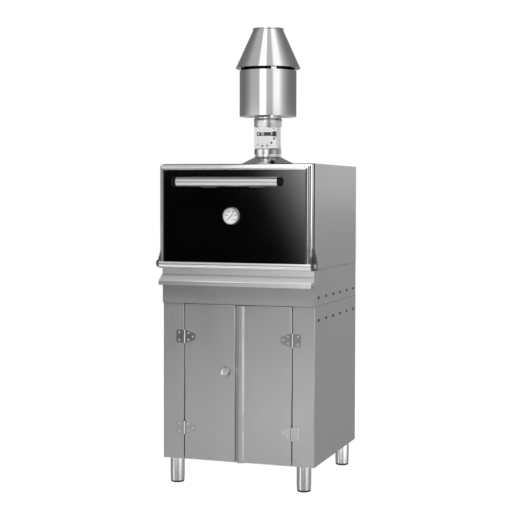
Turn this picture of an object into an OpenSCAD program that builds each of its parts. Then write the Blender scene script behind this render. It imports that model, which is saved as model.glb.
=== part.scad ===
// Charcoal oven on a two-door cabinet, with a drop-down oven door, an ash drawer and a flue with damper.
// The front faces -Y and +Z is up. The origin is on the floor, midway between handle front and back panel.

/* [Casing] */
// Outside width of the cabinet and of the oven
body_w = 700; // [620:10:900]
// Depth of the cabinet
cab_d = 700; // [640:10:900]
// Height of the cabinet body, without its legs
cab_h = 693; // [560:1:800]
// Height of the lower oven section, which holds the ash drawer
lower_h = 158; // [148:1:220]
// Height of the upper oven section, which holds the firebox
shell_h = 456; // [420:1:560]
// How far the oven stands forward of the cabinet
oven_lead = 10; // [6:1:20]
// Thickness of the casing sheets
sheet_t = 2; // [1.5:0.25:2.5]
// Height of the side vents
vent_h = 12; // [8:1:20]
// Length of the side vents
vent_len = 24; // [20:1:50]
// Vents in each row
vent_n = 6; // [3:1:8]

/* [Legs] */
// Height of the legs under the cabinet
leg_h = 110; // [90:1:160]
// Radius of the leg tubes
leg_r = 32; // [24:0.5:38]
// Radius of the adjustable feet
foot_r = 31; // [24:0.5:38]
// How much of each adjustable foot shows under its tube
foot_show = 26; // [16:1:50]

/* [Cabinet doors] */
// Width of the face of each front post
post_w = 98.5; // [80:0.5:120]
// Thickness of the cabinet doors
leaf_d = 20; // [16:1:30]
// Gap between a cabinet door and its post
leaf_gap = 4; // [2:0.5:5]
// Place of the seam between the doors, from the middle
seam_x = -9.5; // [-20:0.5:0]
// How far the pull strip stands out
strip_h = 11; // [8:1:24]
// Length of the hinge knuckles
hinge_len = 59; // [40:1:80]
// Radius of the lock knob
knob_r = 23; // [16:0.5:28]

/* [Oven door] */
// Depth of the oven door in front of the casing
door_d = 50; // [46:1:70]
// Radius of the rolled bottom rail of the door
nose_r = 21; // [16:0.5:22]
// Width of the polished frame at the sides
frame_side_w = 24; // [18:1:34]
// Width of the polished frame at the top
frame_top_w = 20; // [15:1:34]
// Distance from the door panel to the axis of the handle
handle_stand = 80; // [60:1:110]
// Radius of the handle tube
handle_r = 20; // [14:0.5:24]
// Length of the handle with its two end caps
handle_len = 496; // [360:2:560]
// Radius of the thermometer
gauge_r = 38; // [30:0.5:50]

/* [Ash drawer] */
// Height of the drawer box
drawer_h = 56; // [40:1:60]
// How far the pull lip stands out
lip_out = 48; // [28:1:50]

/* [Flue] */
// Outside radius of the flue pipe
flue_r = 60; // [50:1:75]
// Radius of the spark arrestor
arrestor_r = 132; // [115:1:170]
// Height of the spark arrestor
arrestor_h = 210; // [160:1:260]
// Radius of the hat at its foot
hat_r = 150.5; // [136:0.5:190]
// Radius of the hat at its open top
hat_top_r = 69; // [50:1:90]
// Height of the hat
hat_h = 184; // [120:1:220]

/* [Hidden] */
$fn = 48;
// Overrun of every cut past the face it leaves
cut = 1;
// Gap between still pieces that touch lightly
seat_gap = 0.3;
// Radial play of a pin or shaft that turns in its bore
run_play = 0.05;
// Radial play of a screw or pipe in a plain hole
hole_play = 0.3;

// Main planes
reach_d = cab_d + oven_lead + door_d + handle_stand + handle_r;
back_y = reach_d / 2;
cab_front_y = back_y - cab_d;
oven_front_y = cab_front_y - oven_lead;
door_face_y = oven_front_y - door_d;
handle_y = door_face_y - handle_stand;
half_w = body_w / 2;
in_w = half_w - sheet_t;
in_back_y = back_y - sheet_t;
cab_z = leg_h;
cab_top_z = cab_z + cab_h;
shell_z = cab_top_z + lower_h;
roof_z = shell_z + shell_h;

// Cabinet sheets
flange_w = 18;
plate_w = 96;
plate_back_w = 122;
plate_t = 8;
floor_z = cab_z + plate_t;
post_d = 40;
post_lip = 24;
post_in_x = half_w - post_w;
post_back_y = cab_front_y + post_d;
rail_h = 42;
rail_w = 40;
rail_top_z = cab_top_z - sheet_t;
vent_front = 62;
vent_back = 48;
vent_pitch = (cab_d - vent_front - vent_back) / (vent_n - 1);
cab_vent_drop = 61.5;
lower_vent_rise = 36;

// Legs
leg_wall = 2.5;
leg_cap_t = 6;
leg_inset_x = 55;
leg_inset_y = 32;
leg_back_inset_x = 42;
leg_back_inset_y = 80;
stud_r = 6;
glide_in = 1;
glide_h = 6;
foot_groove = 1;
foot_spigot_r = leg_r - leg_wall - hole_play;
foot_rise = 50;
foot_bevel = 3;

// Cabinet doors and their hinges
leaf_out_x = post_in_x - leaf_gap;
leaf_back_y = cab_front_y + leaf_d;
leaf_foot_z = cab_z;
leaf_head_gap = 1.5;
leaf_head_z = cab_top_z - leaf_head_gap;
leaf_mid_gap = 3;
left_in_x = seam_x - leaf_mid_gap / 2;
right_in_x = seam_x + leaf_mid_gap / 2;
barrel_r = 5;
barrel_off = 0.2;
pin_r = 2.5;
pin_head_r = 3.6;
pin_head_h = 1.2;
plate_leaf_t = 2;
knuckle_n = 5;
knuckle_gap = 0.4;
knuckle_len = (hinge_len - (knuckle_n - 1) * knuckle_gap) / knuckle_n;
knuckle_clear = 0.7;
hinge_x = post_in_x - leaf_gap / 2;
hinge_y = cab_front_y - barrel_r - barrel_off;
hinge_low_rise = 141;
hinge_top_drop = 147;
hinge_places = [cab_z + hinge_low_rise, cab_top_z - hinge_top_drop];
post_leaf_w = 38;
door_leaf_w = 52;
leaf_tip_h = 26;
leaf_square_w = 12;
leaf_trim = 1.5;
post_screw_x = 25;
post_screw_pitch = 34;
door_screw_x = 19;
door_screw_pitch = 30;
tip_screw_x = 40;
screw_r = 2;
screw_head_r = 4.2;
screw_head_h = 1.8;
screw_len = 9;
screw_lift = 0.05;
catch_x = 60;
catch_w = 40;
catch_h = 14;
catch_drop = 20;

// Pull strip on the free edge of the right door
strip_left_gap = 0.2;
strip_ridge_x = 18;
strip_face_w = 14;
strip_side_w = 7;
strip_lift = 1.5;
strip_t = 2;
strip_cut_w = 12;
strip_cut_h = 14;
strip_head_gap = 2;

// Lock on the left door
lock_x = -56;
lock_rise = 399;
lock_barrel_r = 10;
lock_plate_r = 20;
lock_plate_t = 3;
lock_shaft_r = 4;
knob_t = 13;
knob_rim_t = 4;
knob_crown_r = 17;
knob_dish_r = 14;
knob_dish_d = 3;
key_w = 2.4;
key_h = 9;
key_d = 5;
cam_t = 3;
cam_w = 16;
cam_len = 60;
cam_gap = 0.5;

// Oven door pivot and the rail it turns in
pivot_out = 30;
pivot_rise = 19;
pivot_y = oven_front_y - pivot_out;
pivot_z = shell_z + pivot_rise;
door_clear = 8;
door_rear_y = oven_front_y - door_clear;
door_side_gap = 2;
door_half = half_w - door_side_gap;
door_top_drop = 5;
door_top_z = roof_z - door_top_drop;
panel_half = door_half - frame_side_w;
panel_t = 5;
panel_gap = 1.5;
rail_rise = 9;
panel_z = pivot_z + rail_rise;
panel_top_z = door_top_z - frame_top_w;
frame_ledge = 8;
frame_flat = 4;
frame_side_d = 16;
frame_steps = 6;
groove_w = 3;
groove_d = 3;
core_half = panel_half - frame_ledge;
core_top_z = panel_top_z - frame_ledge;
rail_step = 14;
rail_step_z = panel_z + rail_step;
hinge_pin_r = 6;
hinge_pin_in = 50;
hinge_pin_head_t = 2.5;
hinge_pin_head_r = 12;
rail_bore_r = 15;

// Door hinge brackets on the casing
bracket_r = 15;
bracket_gap = 1;
bracket_w = 13.5;
bracket_barrel_w = 11;
bracket_foot_w = 24;
bracket_foot_t = 3;
bracket_rise = 74;
bracket_lead = 17;
door_strap_t = 2.4;
door_strap_low = 15;
door_strap_mid = 26;
door_strap_high = 72;

// Door handle and thermometer
handle_drop = 74;
handle_z = door_top_z - handle_drop;
handle_wall = 1.5;
handle_cap_t = 20;
handle_cap_bevel = 4;
handle_plug_d = 12;
saddle_w = 70;
saddle_x = 111;
saddle_arm_h = 18;
saddle_foot_drop = 24;
saddle_foot_rise = 18;
saddle_foot_t = 6;
gauge_drop = 221;
gauge_x = -9;
gauge_z = door_top_z - gauge_drop;
gauge_proud = 10;
gauge_rim = 3;
gauge_lip = 1.5;
gauge_floor_t = 2;
dial_t = 1;
glass_t = 1;
pointer_t = 0.8;
pointer_lift = 1.5;
pointer_tip = 25;
pointer_tail = 15;
pointer_hub_r = 2.6;
pointer_angle = 225;
pointer_tip_w = 0.8;
pointer_tail_w = 2.4;
stem_r = 4;
stem_in = 40;

// Front frame, firebox and what it holds
frame_t = 3;
mouth_side = 60;
mouth_half = half_w - mouth_side;
mouth_rise = 44;
mouth_drop = 32;
mouth_z = shell_z + mouth_rise;
mouth_top_z = roof_z - mouth_drop;
ring_drop = 2;
ring_z = shell_z - ring_drop;
ring_back_y = oven_front_y + frame_t;
box_t = 4;
box_back_gap = 50;
box_back_y = in_back_y - box_back_gap - box_t;
box_foot_drop = 4;
box_foot_z = shell_z - box_foot_drop;
box_flange_w = 36;
grate_ledge_w = 18;
grate_ledge_rise = 14;
grate_t = 10;
grate_bar_w = 12;
grate_slot_w = 14;
grate_rim = 20;
grate_play = 2;
guide_w = 15;
guide_t = 2;
guide_places = [130, 200, 270];
grill_rim = 6;
grill_h = 14;
grill_rod_r = 4;
grill_rods = 19;
grill_play = 3;
gasket_w = 12;
gasket_t = door_clear - seat_gap;
gasket_in = 1;
wool_gap = 0.3;

// Lower oven section and ash drawer
apron_h = 82;
apron_fold = 20;
seam_h = 1;
lower_gap = 1;
lower_return = 12;
drawer_rise = 87;
drawer_side_gap = 16;
drawer_half = half_w - drawer_side_gap;
drawer_ledge_in = 20;
drawer_foot_z = cab_top_z + drawer_rise;
drawer_back_gap = 46;
drawer_t = 2;
front_gap = 0.3;
lip_gap = 2;
lip_top_z = ring_z - lip_gap;
lip_flat = 24;
lip_slope = 27;
lip_flange = 20;
lip_t = 2;
lip_foot_z = lip_top_z - lip_flat - lip_slope - lip_flange;
front_foot_z = drawer_foot_z + drawer_t;

// Flue
flue_back = 286;
flue_y = back_y - flue_back;
flue_t = 2;
base_cone_r = 138;
base_waist_r = 71;
base_waist_rise = 35;
base_neck_rise = 42;
base_pipe_rise = 68;
socket_rise = 53;
socket_h = 22;
socket_t = 3;
pipe_rise = 213;
collar_rise = 181;
collar_h = 47;
collar_t = 5;
collar_bead = 2;
collar_bead_h = 8;
collar_bead_drop = 12;
arrestor_rise = 228;
arrestor_pipe_h = 60;
baffle_rise = 115;
baffle_r = 100;
baffle_t = 2;
baffle_tab_w = 20;
hat_gap = 12;
hat_rim = 3;
hat_rim_h = 5;
strap_w = 24;
strap_t = 4;
strap_low = 25;
strap_n = 3;
base_waist_z = roof_z + base_waist_rise;
base_neck_z = roof_z + base_neck_rise;
base_pipe_z = roof_z + base_pipe_rise;
socket_z = roof_z + socket_rise;
pipe_top_z = roof_z + pipe_rise;
collar_z = roof_z + collar_rise;
arrestor_z = roof_z + arrestor_rise;
hat_z = arrestor_z + arrestor_h + hat_gap;

// Damper on the flue
damper_rise = 145;
damper_z = roof_z + damper_rise;
damper_t = 3;
damper_play = 1;
damper_rod_r = 5;
damper_sleeve_r = 8;
damper_end = 6;
index_left = 46;
index_right = 62;
index_top = 30;
index_low = 66;
index_t = 4;
index_side = 36;
index_hole_r = 2.6;
index_arc_r = 55.5;
index_first = -5.6;
index_step = 24.3;
index_n = 5;
lever_t = 3;
lever_gap = 3;
lever_h = 16;
lever_left = 31;
lever_right = 46;
grip_x = 50;
grip_w = 10;
grip_h = 23;
grip_d = 12;
nut_r = 8;
nut_t = 6;
rivet_r = 4;
rivet_t = 3;

// A box between two corners, each side given as [low, high]
module slab(x, y, z) {
    translate([x[0], y[0], z[0]])
        cube([x[1] - x[0], y[1] - y[0], z[1] - z[0]]);
}

// The right-hand piece and its mirror image on the left
module both_sides() {
    for (side = [0, 1])
        mirror([side, 0, 0]) children();
}

// A profile drawn in Y and Z, run along X from one place to another
module run_x(x0, x1) {
    translate([x0, 0, 0])
        rotate([90, 0, 90]) linear_extrude(x1 - x0) children();
}

// A profile drawn in X and Z, run along Y from one place to another
module run_y(y0, y1) {
    translate([0, y1, 0])
        rotate([90, 0, 0]) linear_extrude(y1 - y0) children();
}

// A round bar along X
module bar_x(r, x0, x1) {
    translate([x0, 0, 0])
        rotate([0, 90, 0]) cylinder(r = r, h = x1 - x0);
}

// A round bar along Y
module bar_y(r, y0, y1) {
    translate([0, y0, 0])
        rotate([-90, 0, 0]) cylinder(r = r, h = y1 - y0);
}

// A rectangle between two corners
module patch(x, y) {
    translate([x[0], y[0]])
        square([x[1] - x[0], y[1] - y[0]]);
}

// A row of long vent holes through the right-hand side sheet
module side_vents(z) {
    reach = (vent_len - vent_h) / 2;
    for (i = [0 : vent_n - 1])
        translate([0, cab_front_y + vent_front + i * vent_pitch, z]) {
            for (y = [-reach, reach])
                translate([0, y, 0]) bar_x(vent_h / 2, in_w - cut, half_w + cut);
            slab([in_w - cut, half_w + cut], [-reach, reach], [-vent_h / 2, vent_h / 2]);
        }
}

// Four legs, children drawn at the middle of each leg
module at_legs() {
    for (side = [-1, 1]) {
        translate([side * (half_w - leg_inset_x), cab_front_y + leg_inset_y, 0]) children();
        translate([side * (half_w - leg_back_inset_x), back_y - leg_back_inset_y, 0]) children();
    }
}

module cabinet_sides() {
    color("darkgray")
    both_sides() {
        difference() {
            slab([in_w, half_w], [cab_front_y + sheet_t, back_y], [cab_z, cab_top_z]);
            side_vents(cab_top_z - cab_vent_drop);
        }
        slab([in_w - flange_w, in_w], [cab_front_y + sheet_t + plate_w, in_back_y - plate_back_w],
             [floor_z - sheet_t, floor_z]);
        slab([in_w - flange_w, in_w], [post_back_y, in_back_y], [rail_top_z, cab_top_z]);
    }
}

module cabinet_back() {
    color("darkgray")
    slab([-in_w, in_w], [in_back_y, back_y], [cab_z, cab_top_z]);
}

// Floor sheet with the four thick corner plates that the legs screw into
module cabinet_floor() {
    color("gray")
    difference() {
        union() {
            slab([-in_w, in_w], [post_back_y, in_back_y], [floor_z, floor_z + sheet_t]);
            both_sides() {
                slab([in_w - plate_w, in_w], [cab_front_y + sheet_t, cab_front_y + sheet_t + plate_w],
                     [cab_z, floor_z]);
                slab([in_w - plate_w, in_w], [in_back_y - plate_back_w, in_back_y], [cab_z, floor_z]);
            }
        }
        at_legs()
            translate([0, 0, cab_z - cut])
                cylinder(r = stud_r + run_play, h = plate_t + sheet_t + 2 * cut);
    }
}

// Where the screws of the four post leaves go, on the right-hand side
module at_post_screws() {
    for (z = hinge_places)
        for (dz = [-1, 1] * post_screw_pitch / 2)
            translate([hinge_x + post_screw_x, 0, z + dz]) children();
}

// Where the screws of the right door's leaves go
module at_door_screws() {
    for (z = hinge_places) {
        for (dz = [-1, 1] * door_screw_pitch / 2)
            translate([hinge_x - door_screw_x, 0, z + dz]) children();
        translate([hinge_x - tip_screw_x, 0, z]) children();
    }
}

module screw_hole() {
    bar_y(screw_r + hole_play, cab_front_y - plate_leaf_t - cut, cab_front_y + sheet_t + cut);
}

module front_posts() {
    color("silver")
    both_sides()
    difference() {
        union() {
            slab([post_in_x, half_w], [cab_front_y, cab_front_y + sheet_t], [cab_z, cab_top_z]);
            translate([0, 0, floor_z])
            linear_extrude(cab_top_z - floor_z) {
                patch([post_in_x, post_in_x + sheet_t], [cab_front_y, post_back_y]);
                patch([post_in_x, post_in_x + post_lip], [post_back_y - sheet_t, post_back_y]);
                patch([in_w - sheet_t, in_w], [cab_front_y + sheet_t / 2, post_back_y]);
            }
        }
        at_post_screws() screw_hole();
    }
}

// Folded angles across the top that the oven stands on
module top_rails() {
    color("gray")
    run_x(-in_w, in_w) {
        patch([post_back_y, post_back_y + rail_w], [rail_top_z - sheet_t, rail_top_z]);
        patch([post_back_y, post_back_y + sheet_t], [rail_top_z - rail_h, rail_top_z]);
        patch([in_back_y - rail_w, in_back_y], [rail_top_z - sheet_t, rail_top_z]);
        patch([in_back_y - sheet_t, in_back_y], [rail_top_z - rail_h, rail_top_z]);
    }
}

// Leg tube with a closed top and the stud that screws into the corner plate
module leg_tubes() {
    color("silver")
    at_legs() {
        difference() {
            translate([0, 0, foot_show]) cylinder(r = leg_r, h = cab_z - foot_show);
            translate([0, 0, foot_show - cut])
                cylinder(r = leg_r - leg_wall, h = cab_z - leg_cap_t - foot_show + cut);
        }
        translate([0, 0, cab_z - leg_cap_t])
            cylinder(r = stud_r, h = leg_cap_t + plate_t);
    }
}

module leg_feet() {
    color("silver")
    at_legs()
    rotate_extrude()
    polygon([
        [0, glide_h],
        [foot_r - foot_bevel, glide_h],
        [foot_r, glide_h + foot_bevel],
        [foot_r, foot_show - foot_groove],
        [foot_spigot_r, foot_show - foot_groove],
        [foot_spigot_r, foot_rise],
        [0, foot_rise]
    ]);
}

module leg_glides() {
    rim = foot_r - glide_in;
    color("dimgray")
    at_legs()
    rotate_extrude()
    polygon([[0, 0], [rim - foot_bevel, 0], [rim, foot_bevel], [rim, glide_h], [0, glide_h]]);
}

// Magnet catches on the front rail, one behind each door
module door_catches() {
    color("white")
    both_sides()
    slab([catch_x - catch_w / 2, catch_x + catch_w / 2], [leaf_back_y + seat_gap, post_back_y],
         [rail_top_z - catch_drop - catch_h, rail_top_z - catch_drop]);
}

// Knuckles of one leaf, each joined to its plate: the odd ones belong to the post, the even ones to the door
module knuckles(first, side) {
    for (i = [first : 2 : knuckle_n - 1]) {
        z = i * (knuckle_len + knuckle_gap) - hinge_len / 2;
        translate([hinge_x, hinge_y, z]) cylinder(r = barrel_r, h = knuckle_len);
        x = [hinge_x, hinge_x + side * (barrel_r + knuckle_clear)];
        slab([min(x), max(x)], [cab_front_y - plate_leaf_t, cab_front_y - barrel_off],
             [z, z + knuckle_len]);
    }
}

module hinge_bore() {
    translate([hinge_x, hinge_y, -hinge_len])
        cylinder(r = pin_r + run_play, h = 2 * hinge_len);
}

module post_leaves() {
    color("silver")
    both_sides()
    difference() {
        for (z = hinge_places)
            translate([0, 0, z])
            difference() {
                union() {
                    knuckles(0, 1);
                    slab([hinge_x + barrel_r + knuckle_clear, hinge_x + post_leaf_w],
                         [cab_front_y - plate_leaf_t, cab_front_y],
                         [leaf_trim - hinge_len / 2, hinge_len / 2 - leaf_trim]);
                }
                hinge_bore();
            }
        at_post_screws() screw_hole();
    }
}

module leaf_pins() {
    color("silver")
    both_sides()
    for (z = hinge_places)
        translate([hinge_x, hinge_y, z - hinge_len / 2]) {
            cylinder(r = pin_r, h = hinge_len);
            translate([0, 0, hinge_len]) cylinder(r = pin_head_r, h = pin_head_h);
            translate([0, 0, -pin_head_h]) cylinder(r = pin_head_r, h = pin_head_h);
        }
}

// Domed screw, its head on the front of a leaf
module leaf_screw() {
    translate([0, cab_front_y - plate_leaf_t - screw_lift, 0])
    rotate([90, 0, 0])
    rotate_extrude()
    polygon([
        [0, -screw_len],
        [screw_r, -screw_len],
        [screw_r, 0],
        [screw_head_r, 0],
        [screw_head_r, screw_head_h / 3],
        [screw_head_r * 0.7, screw_head_h],
        [0, screw_head_h]
    ]);
}

module post_leaf_screws() {
    color("white")
    both_sides() at_post_screws() leaf_screw();
}

// The two leaves of the right door with their screws
module right_door_leaves() {
    color("silver") {
        difference() {
            for (z = hinge_places)
                translate([0, 0, z])
                difference() {
                    union() {
                        knuckles(1, -1);
                        run_y(cab_front_y - plate_leaf_t, cab_front_y)
                        polygon([
                            [hinge_x - barrel_r - knuckle_clear, leaf_trim - hinge_len / 2],
                            [hinge_x - barrel_r - knuckle_clear, hinge_len / 2 - leaf_trim],
                            [hinge_x - leaf_square_w, hinge_len / 2 - leaf_trim],
                            [hinge_x - door_leaf_w, leaf_tip_h / 2],
                            [hinge_x - door_leaf_w, -leaf_tip_h / 2],
                            [hinge_x - leaf_square_w, leaf_trim - hinge_len / 2]
                        ]);
                    }
                    hinge_bore();
                }
            at_door_screws() screw_hole();
        }
        at_door_screws() leaf_screw();
    }
}

module left_door_leaves() {
    mirror([1, 0, 0]) right_door_leaves();
}

// Folded outer pan of a cabinet door, open at the back
module door_pan(x) {
    difference() {
        slab(x, [cab_front_y, leaf_back_y], [leaf_foot_z, leaf_head_z]);
        slab([x[0] + sheet_t, x[1] - sheet_t], [cab_front_y + sheet_t, leaf_back_y + cut],
             [leaf_foot_z + sheet_t, leaf_head_z - sheet_t]);
    }
}

// Flat sheet that closes the back of a door pan
module door_back(x) {
    slab([x[0] + sheet_t, x[1] - sheet_t], [leaf_back_y - sheet_t, leaf_back_y],
         [leaf_foot_z + sheet_t, leaf_head_z - sheet_t]);
}

module lock_hole() {
    translate([lock_x, 0, cab_z + lock_rise])
        bar_y(lock_barrel_r + hole_play, cab_front_y - cut, leaf_back_y + cut);
}

module left_door_pan() {
    color("silver")
    difference() {
        door_pan([-leaf_out_x, left_in_x]);
        lock_hole();
        mirror([1, 0, 0]) at_door_screws() screw_hole();
    }
}

module left_door_liner() {
    color("gray")
    difference() {
        door_back([-leaf_out_x, left_in_x]);
        lock_hole();
    }
}

module right_door_pan() {
    color("silver")
    difference() {
        door_pan([right_in_x, leaf_out_x]);
        at_door_screws() screw_hole();
    }
}

module right_door_liner() {
    color("gray")
    door_back([right_in_x, leaf_out_x]);
}

// Folded pull strip: a slope from its free edge, a flat face and a steep side down to the door
module pull_strip() {
    free_x = right_in_x + strip_left_gap;
    ridge_x = free_x + strip_ridge_x;
    face_x = ridge_x + strip_face_w;
    foot_x = face_x + strip_side_w;
    front_y = cab_front_y - strip_h;
    foot_z = leaf_foot_z;
    head_z = leaf_head_z - strip_head_gap;
    color("silver")
    difference() {
        translate([0, 0, foot_z])
        linear_extrude(head_z - foot_z)
        polygon([
            [free_x, cab_front_y - strip_lift],
            [ridge_x, front_y],
            [face_x, front_y],
            [foot_x, cab_front_y],
            [foot_x - strip_t, cab_front_y],
            [face_x - strip_t, front_y + strip_t],
            [ridge_x + strip_t / 2, front_y + strip_t],
            [free_x + strip_t, cab_front_y - strip_lift]
        ]);
        run_y(front_y - cut, cab_front_y)
        for (end = [[foot_z, 1], [head_z, -1]])
            polygon([
                [free_x - cut, end[0] - end[1] * cut],
                [free_x + strip_cut_w, end[0] - end[1] * cut],
                [free_x + strip_cut_w, end[0]],
                [free_x, end[0] + end[1] * strip_cut_h],
                [free_x - cut, end[0] + end[1] * strip_cut_h]
            ]);
    }
}

module at_lock() {
    translate([lock_x, 0, cab_z + lock_rise]) children();
}

// Lock barrel with its round plate on the face of the left door
module lock_body() {
    color("silver")
    at_lock()
    difference() {
        union() {
            bar_y(lock_plate_r, cab_front_y - lock_plate_t, cab_front_y);
            bar_y(lock_barrel_r, cab_front_y - lock_plate_t, leaf_back_y);
        }
        bar_y(lock_shaft_r + run_play, cab_front_y - lock_plate_t - cut, leaf_back_y + cut);
    }
}

// Dished knob with a key slot, and the shaft that turns the cam
module lock_knob() {
    color("white")
    at_lock()
    translate([0, cab_front_y - lock_plate_t - seat_gap, 0]) {
        rotate([90, 0, 0])
        difference() {
            rotate_extrude()
            polygon([
                [0, 0],
                [knob_r, 0],
                [knob_r, knob_rim_t],
                [knob_crown_r, knob_t],
                [knob_dish_r, knob_t],
                [knob_dish_r - knob_dish_d, knob_t - knob_dish_d],
                [0, knob_t - knob_dish_d]
            ]);
            translate([-key_w / 2, -key_h / 2, knob_t - knob_dish_d - key_d])
                cube([key_w, key_h, key_d + cut]);
        }
        bar_y(lock_shaft_r, 0, lock_plate_t + seat_gap + leaf_d + cam_gap + cam_t);
    }
}

module lock_cam() {
    color("gray")
    at_lock()
    difference() {
        run_y(leaf_back_y + cam_gap, leaf_back_y + cam_gap + cam_t) {
            circle(r = cam_w / 2);
            patch([-cam_w / 2, cam_w / 2], [0, cam_len]);
        }
        bar_y(lock_shaft_r, leaf_back_y, leaf_back_y + cam_gap + cam_t + cut);
    }
}

// Bottom sheet of the oven
module base_plate() {
    color("gray")
    slab([-in_w, in_w], [ring_back_y, in_back_y], [cab_top_z, cab_top_z + sheet_t]);
}

// Side sheets of the lower oven section, folded in at the front, and its back sheet
module lower_panels() {
    top = shell_z - lower_gap;
    foot = cab_top_z + sheet_t;
    color("darkgray") {
        both_sides() {
            difference() {
                slab([in_w, half_w], [ring_back_y, back_y], [cab_top_z + seam_h, top]);
                side_vents(cab_top_z + lower_vent_rise);
            }
            slab([in_w - lower_return, in_w], [ring_back_y, ring_back_y + sheet_t],
                 [foot, ring_z - seat_gap]);
        }
        slab([-in_w, in_w], [in_back_y, back_y], [cab_top_z + seam_h, top]);
    }
}

module apron() {
    top = cab_top_z + apron_h;
    color("darkgray")
    run_x(-half_w, half_w)
    patch([oven_front_y, ring_back_y], [cab_top_z + seam_h, top]);
    color("darkgray")
    run_x(lower_return - in_w, in_w - lower_return)
    patch([oven_front_y, oven_front_y + apron_fold], [top - sheet_t, top]);
}

// Folded brackets on the side sheets: the low ledge carries the drawer, the high one the firebox
module drawer_runners() {
    foot = drawer_foot_z - seat_gap;
    top = box_foot_z;
    color("gray")
    both_sides()
    run_y(oven_front_y + apron_fold, in_back_y - drawer_back_gap) {
        patch([in_w - sheet_t, in_w], [foot - sheet_t, top]);
        patch([drawer_half - drawer_ledge_in, in_w], [foot - sheet_t, foot]);
        patch([mouth_half + box_t + box_flange_w / 3, in_w], [top - sheet_t, top]);
    }
}

module ash_drawer_box() {
    back = in_back_y - drawer_back_gap;
    front = oven_front_y - front_gap;
    top = drawer_foot_z + drawer_h;
    color("gray")
    difference() {
        slab([-drawer_half, drawer_half], [front, back], [drawer_foot_z, top]);
        slab([drawer_t - drawer_half, drawer_half - drawer_t], [front + drawer_t, back - drawer_t],
             [drawer_foot_z + drawer_t, top + cut]);
    }
}

// Drawer front with its full-width pull lip: flat, sloping out, then turned down
module ash_drawer_front() {
    back = oven_front_y - front_gap;
    face = back - lip_t;
    nose = oven_front_y - lip_out;
    knee = lip_top_z - lip_flat;
    brow = knee - lip_slope;
    color("silver")
    run_x(-half_w, half_w) {
        patch([face, back], [front_foot_z, lip_top_z]);
        polygon([
            [back, knee + lip_t],
            [face, knee + lip_t],
            [face, knee],
            [nose, brow],
            [nose, lip_foot_z],
            [nose + lip_t, lip_foot_z],
            [nose + lip_t, brow - lip_t / 2],
            [back, knee - lip_t]
        ]);
    }
}

module shell_sides() {
    color("darkgray")
    both_sides()
    slab([in_w, half_w], [ring_back_y, back_y], [shell_z, roof_z - sheet_t]);
}

module shell_back() {
    color("darkgray")
    slab([-in_w, in_w], [in_back_y, back_y], [shell_z, roof_z - sheet_t]);
}

module shell_roof() {
    color("gray")
    difference() {
        slab([-half_w, half_w], [ring_back_y, back_y], [roof_z - sheet_t, roof_z]);
        translate([0, flue_y, roof_z - sheet_t - cut])
            cylinder(r = flue_r + hole_play, h = sheet_t + 2 * cut);
    }
}

// Plate round the oven mouth that the casing and the firebox are welded to
module front_frame() {
    color("dimgray")
    run_y(oven_front_y, ring_back_y)
    difference() {
        patch([-half_w, half_w], [ring_z, roof_z]);
        patch([-mouth_half, mouth_half], [mouth_z, mouth_top_z]);
    }
}

// Welded steel box, open at the mouth and, inside its ledges, to the ash drawer
module firebox() {
    wall = mouth_half + box_t;
    top = mouth_top_z + box_t;
    ledge_z = shell_z + grate_ledge_rise;
    color("dimgray")
    difference() {
        union() {
            run_y(ring_back_y, box_back_y + box_t)
            difference() {
                union() {
                    patch([-wall, wall], [box_foot_z, top]);
                    patch([-wall - box_flange_w, wall + box_flange_w], [box_foot_z, box_foot_z + box_t]);
                }
                patch([-mouth_half, mouth_half], [box_foot_z - cut, mouth_top_z]);
            }
            slab([-wall, wall], [box_back_y, box_back_y + box_t], [box_foot_z, top]);
            both_sides()
            slab([mouth_half - grate_ledge_w, wall], [ring_back_y, box_back_y + box_t],
                 [ledge_z - box_t, ledge_z]);
        }
        translate([0, flue_y, mouth_top_z - cut])
            cylinder(r = flue_r - flue_t, h = box_t + 2 * cut);
    }
}

// Slabs of mineral wool between the firebox and the casing
module insulation() {
    wall = mouth_half + box_t + wool_gap;
    foot = box_foot_z + box_t + wool_gap;
    y = [ring_back_y + wool_gap, in_back_y - wool_gap];
    back = box_back_y + box_t + wool_gap;
    head = roof_z - sheet_t - wool_gap;
    color("khaki") {
        both_sides()
        slab([wall, in_w - wool_gap], y, [foot, head]);
        slab([wool_gap - wall, wall - wool_gap], [back, y[1]], [foot, head]);
        difference() {
            slab([wool_gap - wall, wall - wool_gap], [y[0], back - wool_gap], [mouth_top_z + box_t + wool_gap, head]);
            translate([0, flue_y, mouth_top_z])
                cylinder(r = flue_r + hole_play, h = mouth_drop);
        }
    }
}

// Cast grate under the charcoal
module fire_grate() {
    half = mouth_half - grate_play;
    y = [ring_back_y + grate_play, box_back_y - grate_play];
    z = shell_z + grate_ledge_rise + seat_gap;
    pitch = grate_bar_w + grate_slot_w;
    slots = floor((2 * (half - grate_rim) + grate_bar_w) / pitch);
    mid = (y[0] + y[1]) / 2;
    color("black")
    translate([0, 0, z])
    linear_extrude(grate_t)
    difference() {
        patch([-half, half], y);
        for (i = [0 : slots - 1])
            translate([(i - (slots - 1) / 2) * pitch, 0])
                for (run = [[y[0] + grate_rim, mid - grate_rim / 2], [mid + grate_rim / 2, y[1] - grate_rim]])
                    patch([-grate_slot_w / 2, grate_slot_w / 2], run);
    }
}

module rack_guides() {
    color("gray")
    both_sides()
    for (rise = guide_places)
        run_y(ring_back_y + guide_w, box_back_y - guide_w) {
            patch([mouth_half - guide_w, mouth_half], [shell_z + rise - guide_t, shell_z + rise]);
            patch([mouth_half - guide_t, mouth_half], [shell_z + rise - guide_w, shell_z + rise]);
        }
}

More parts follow.
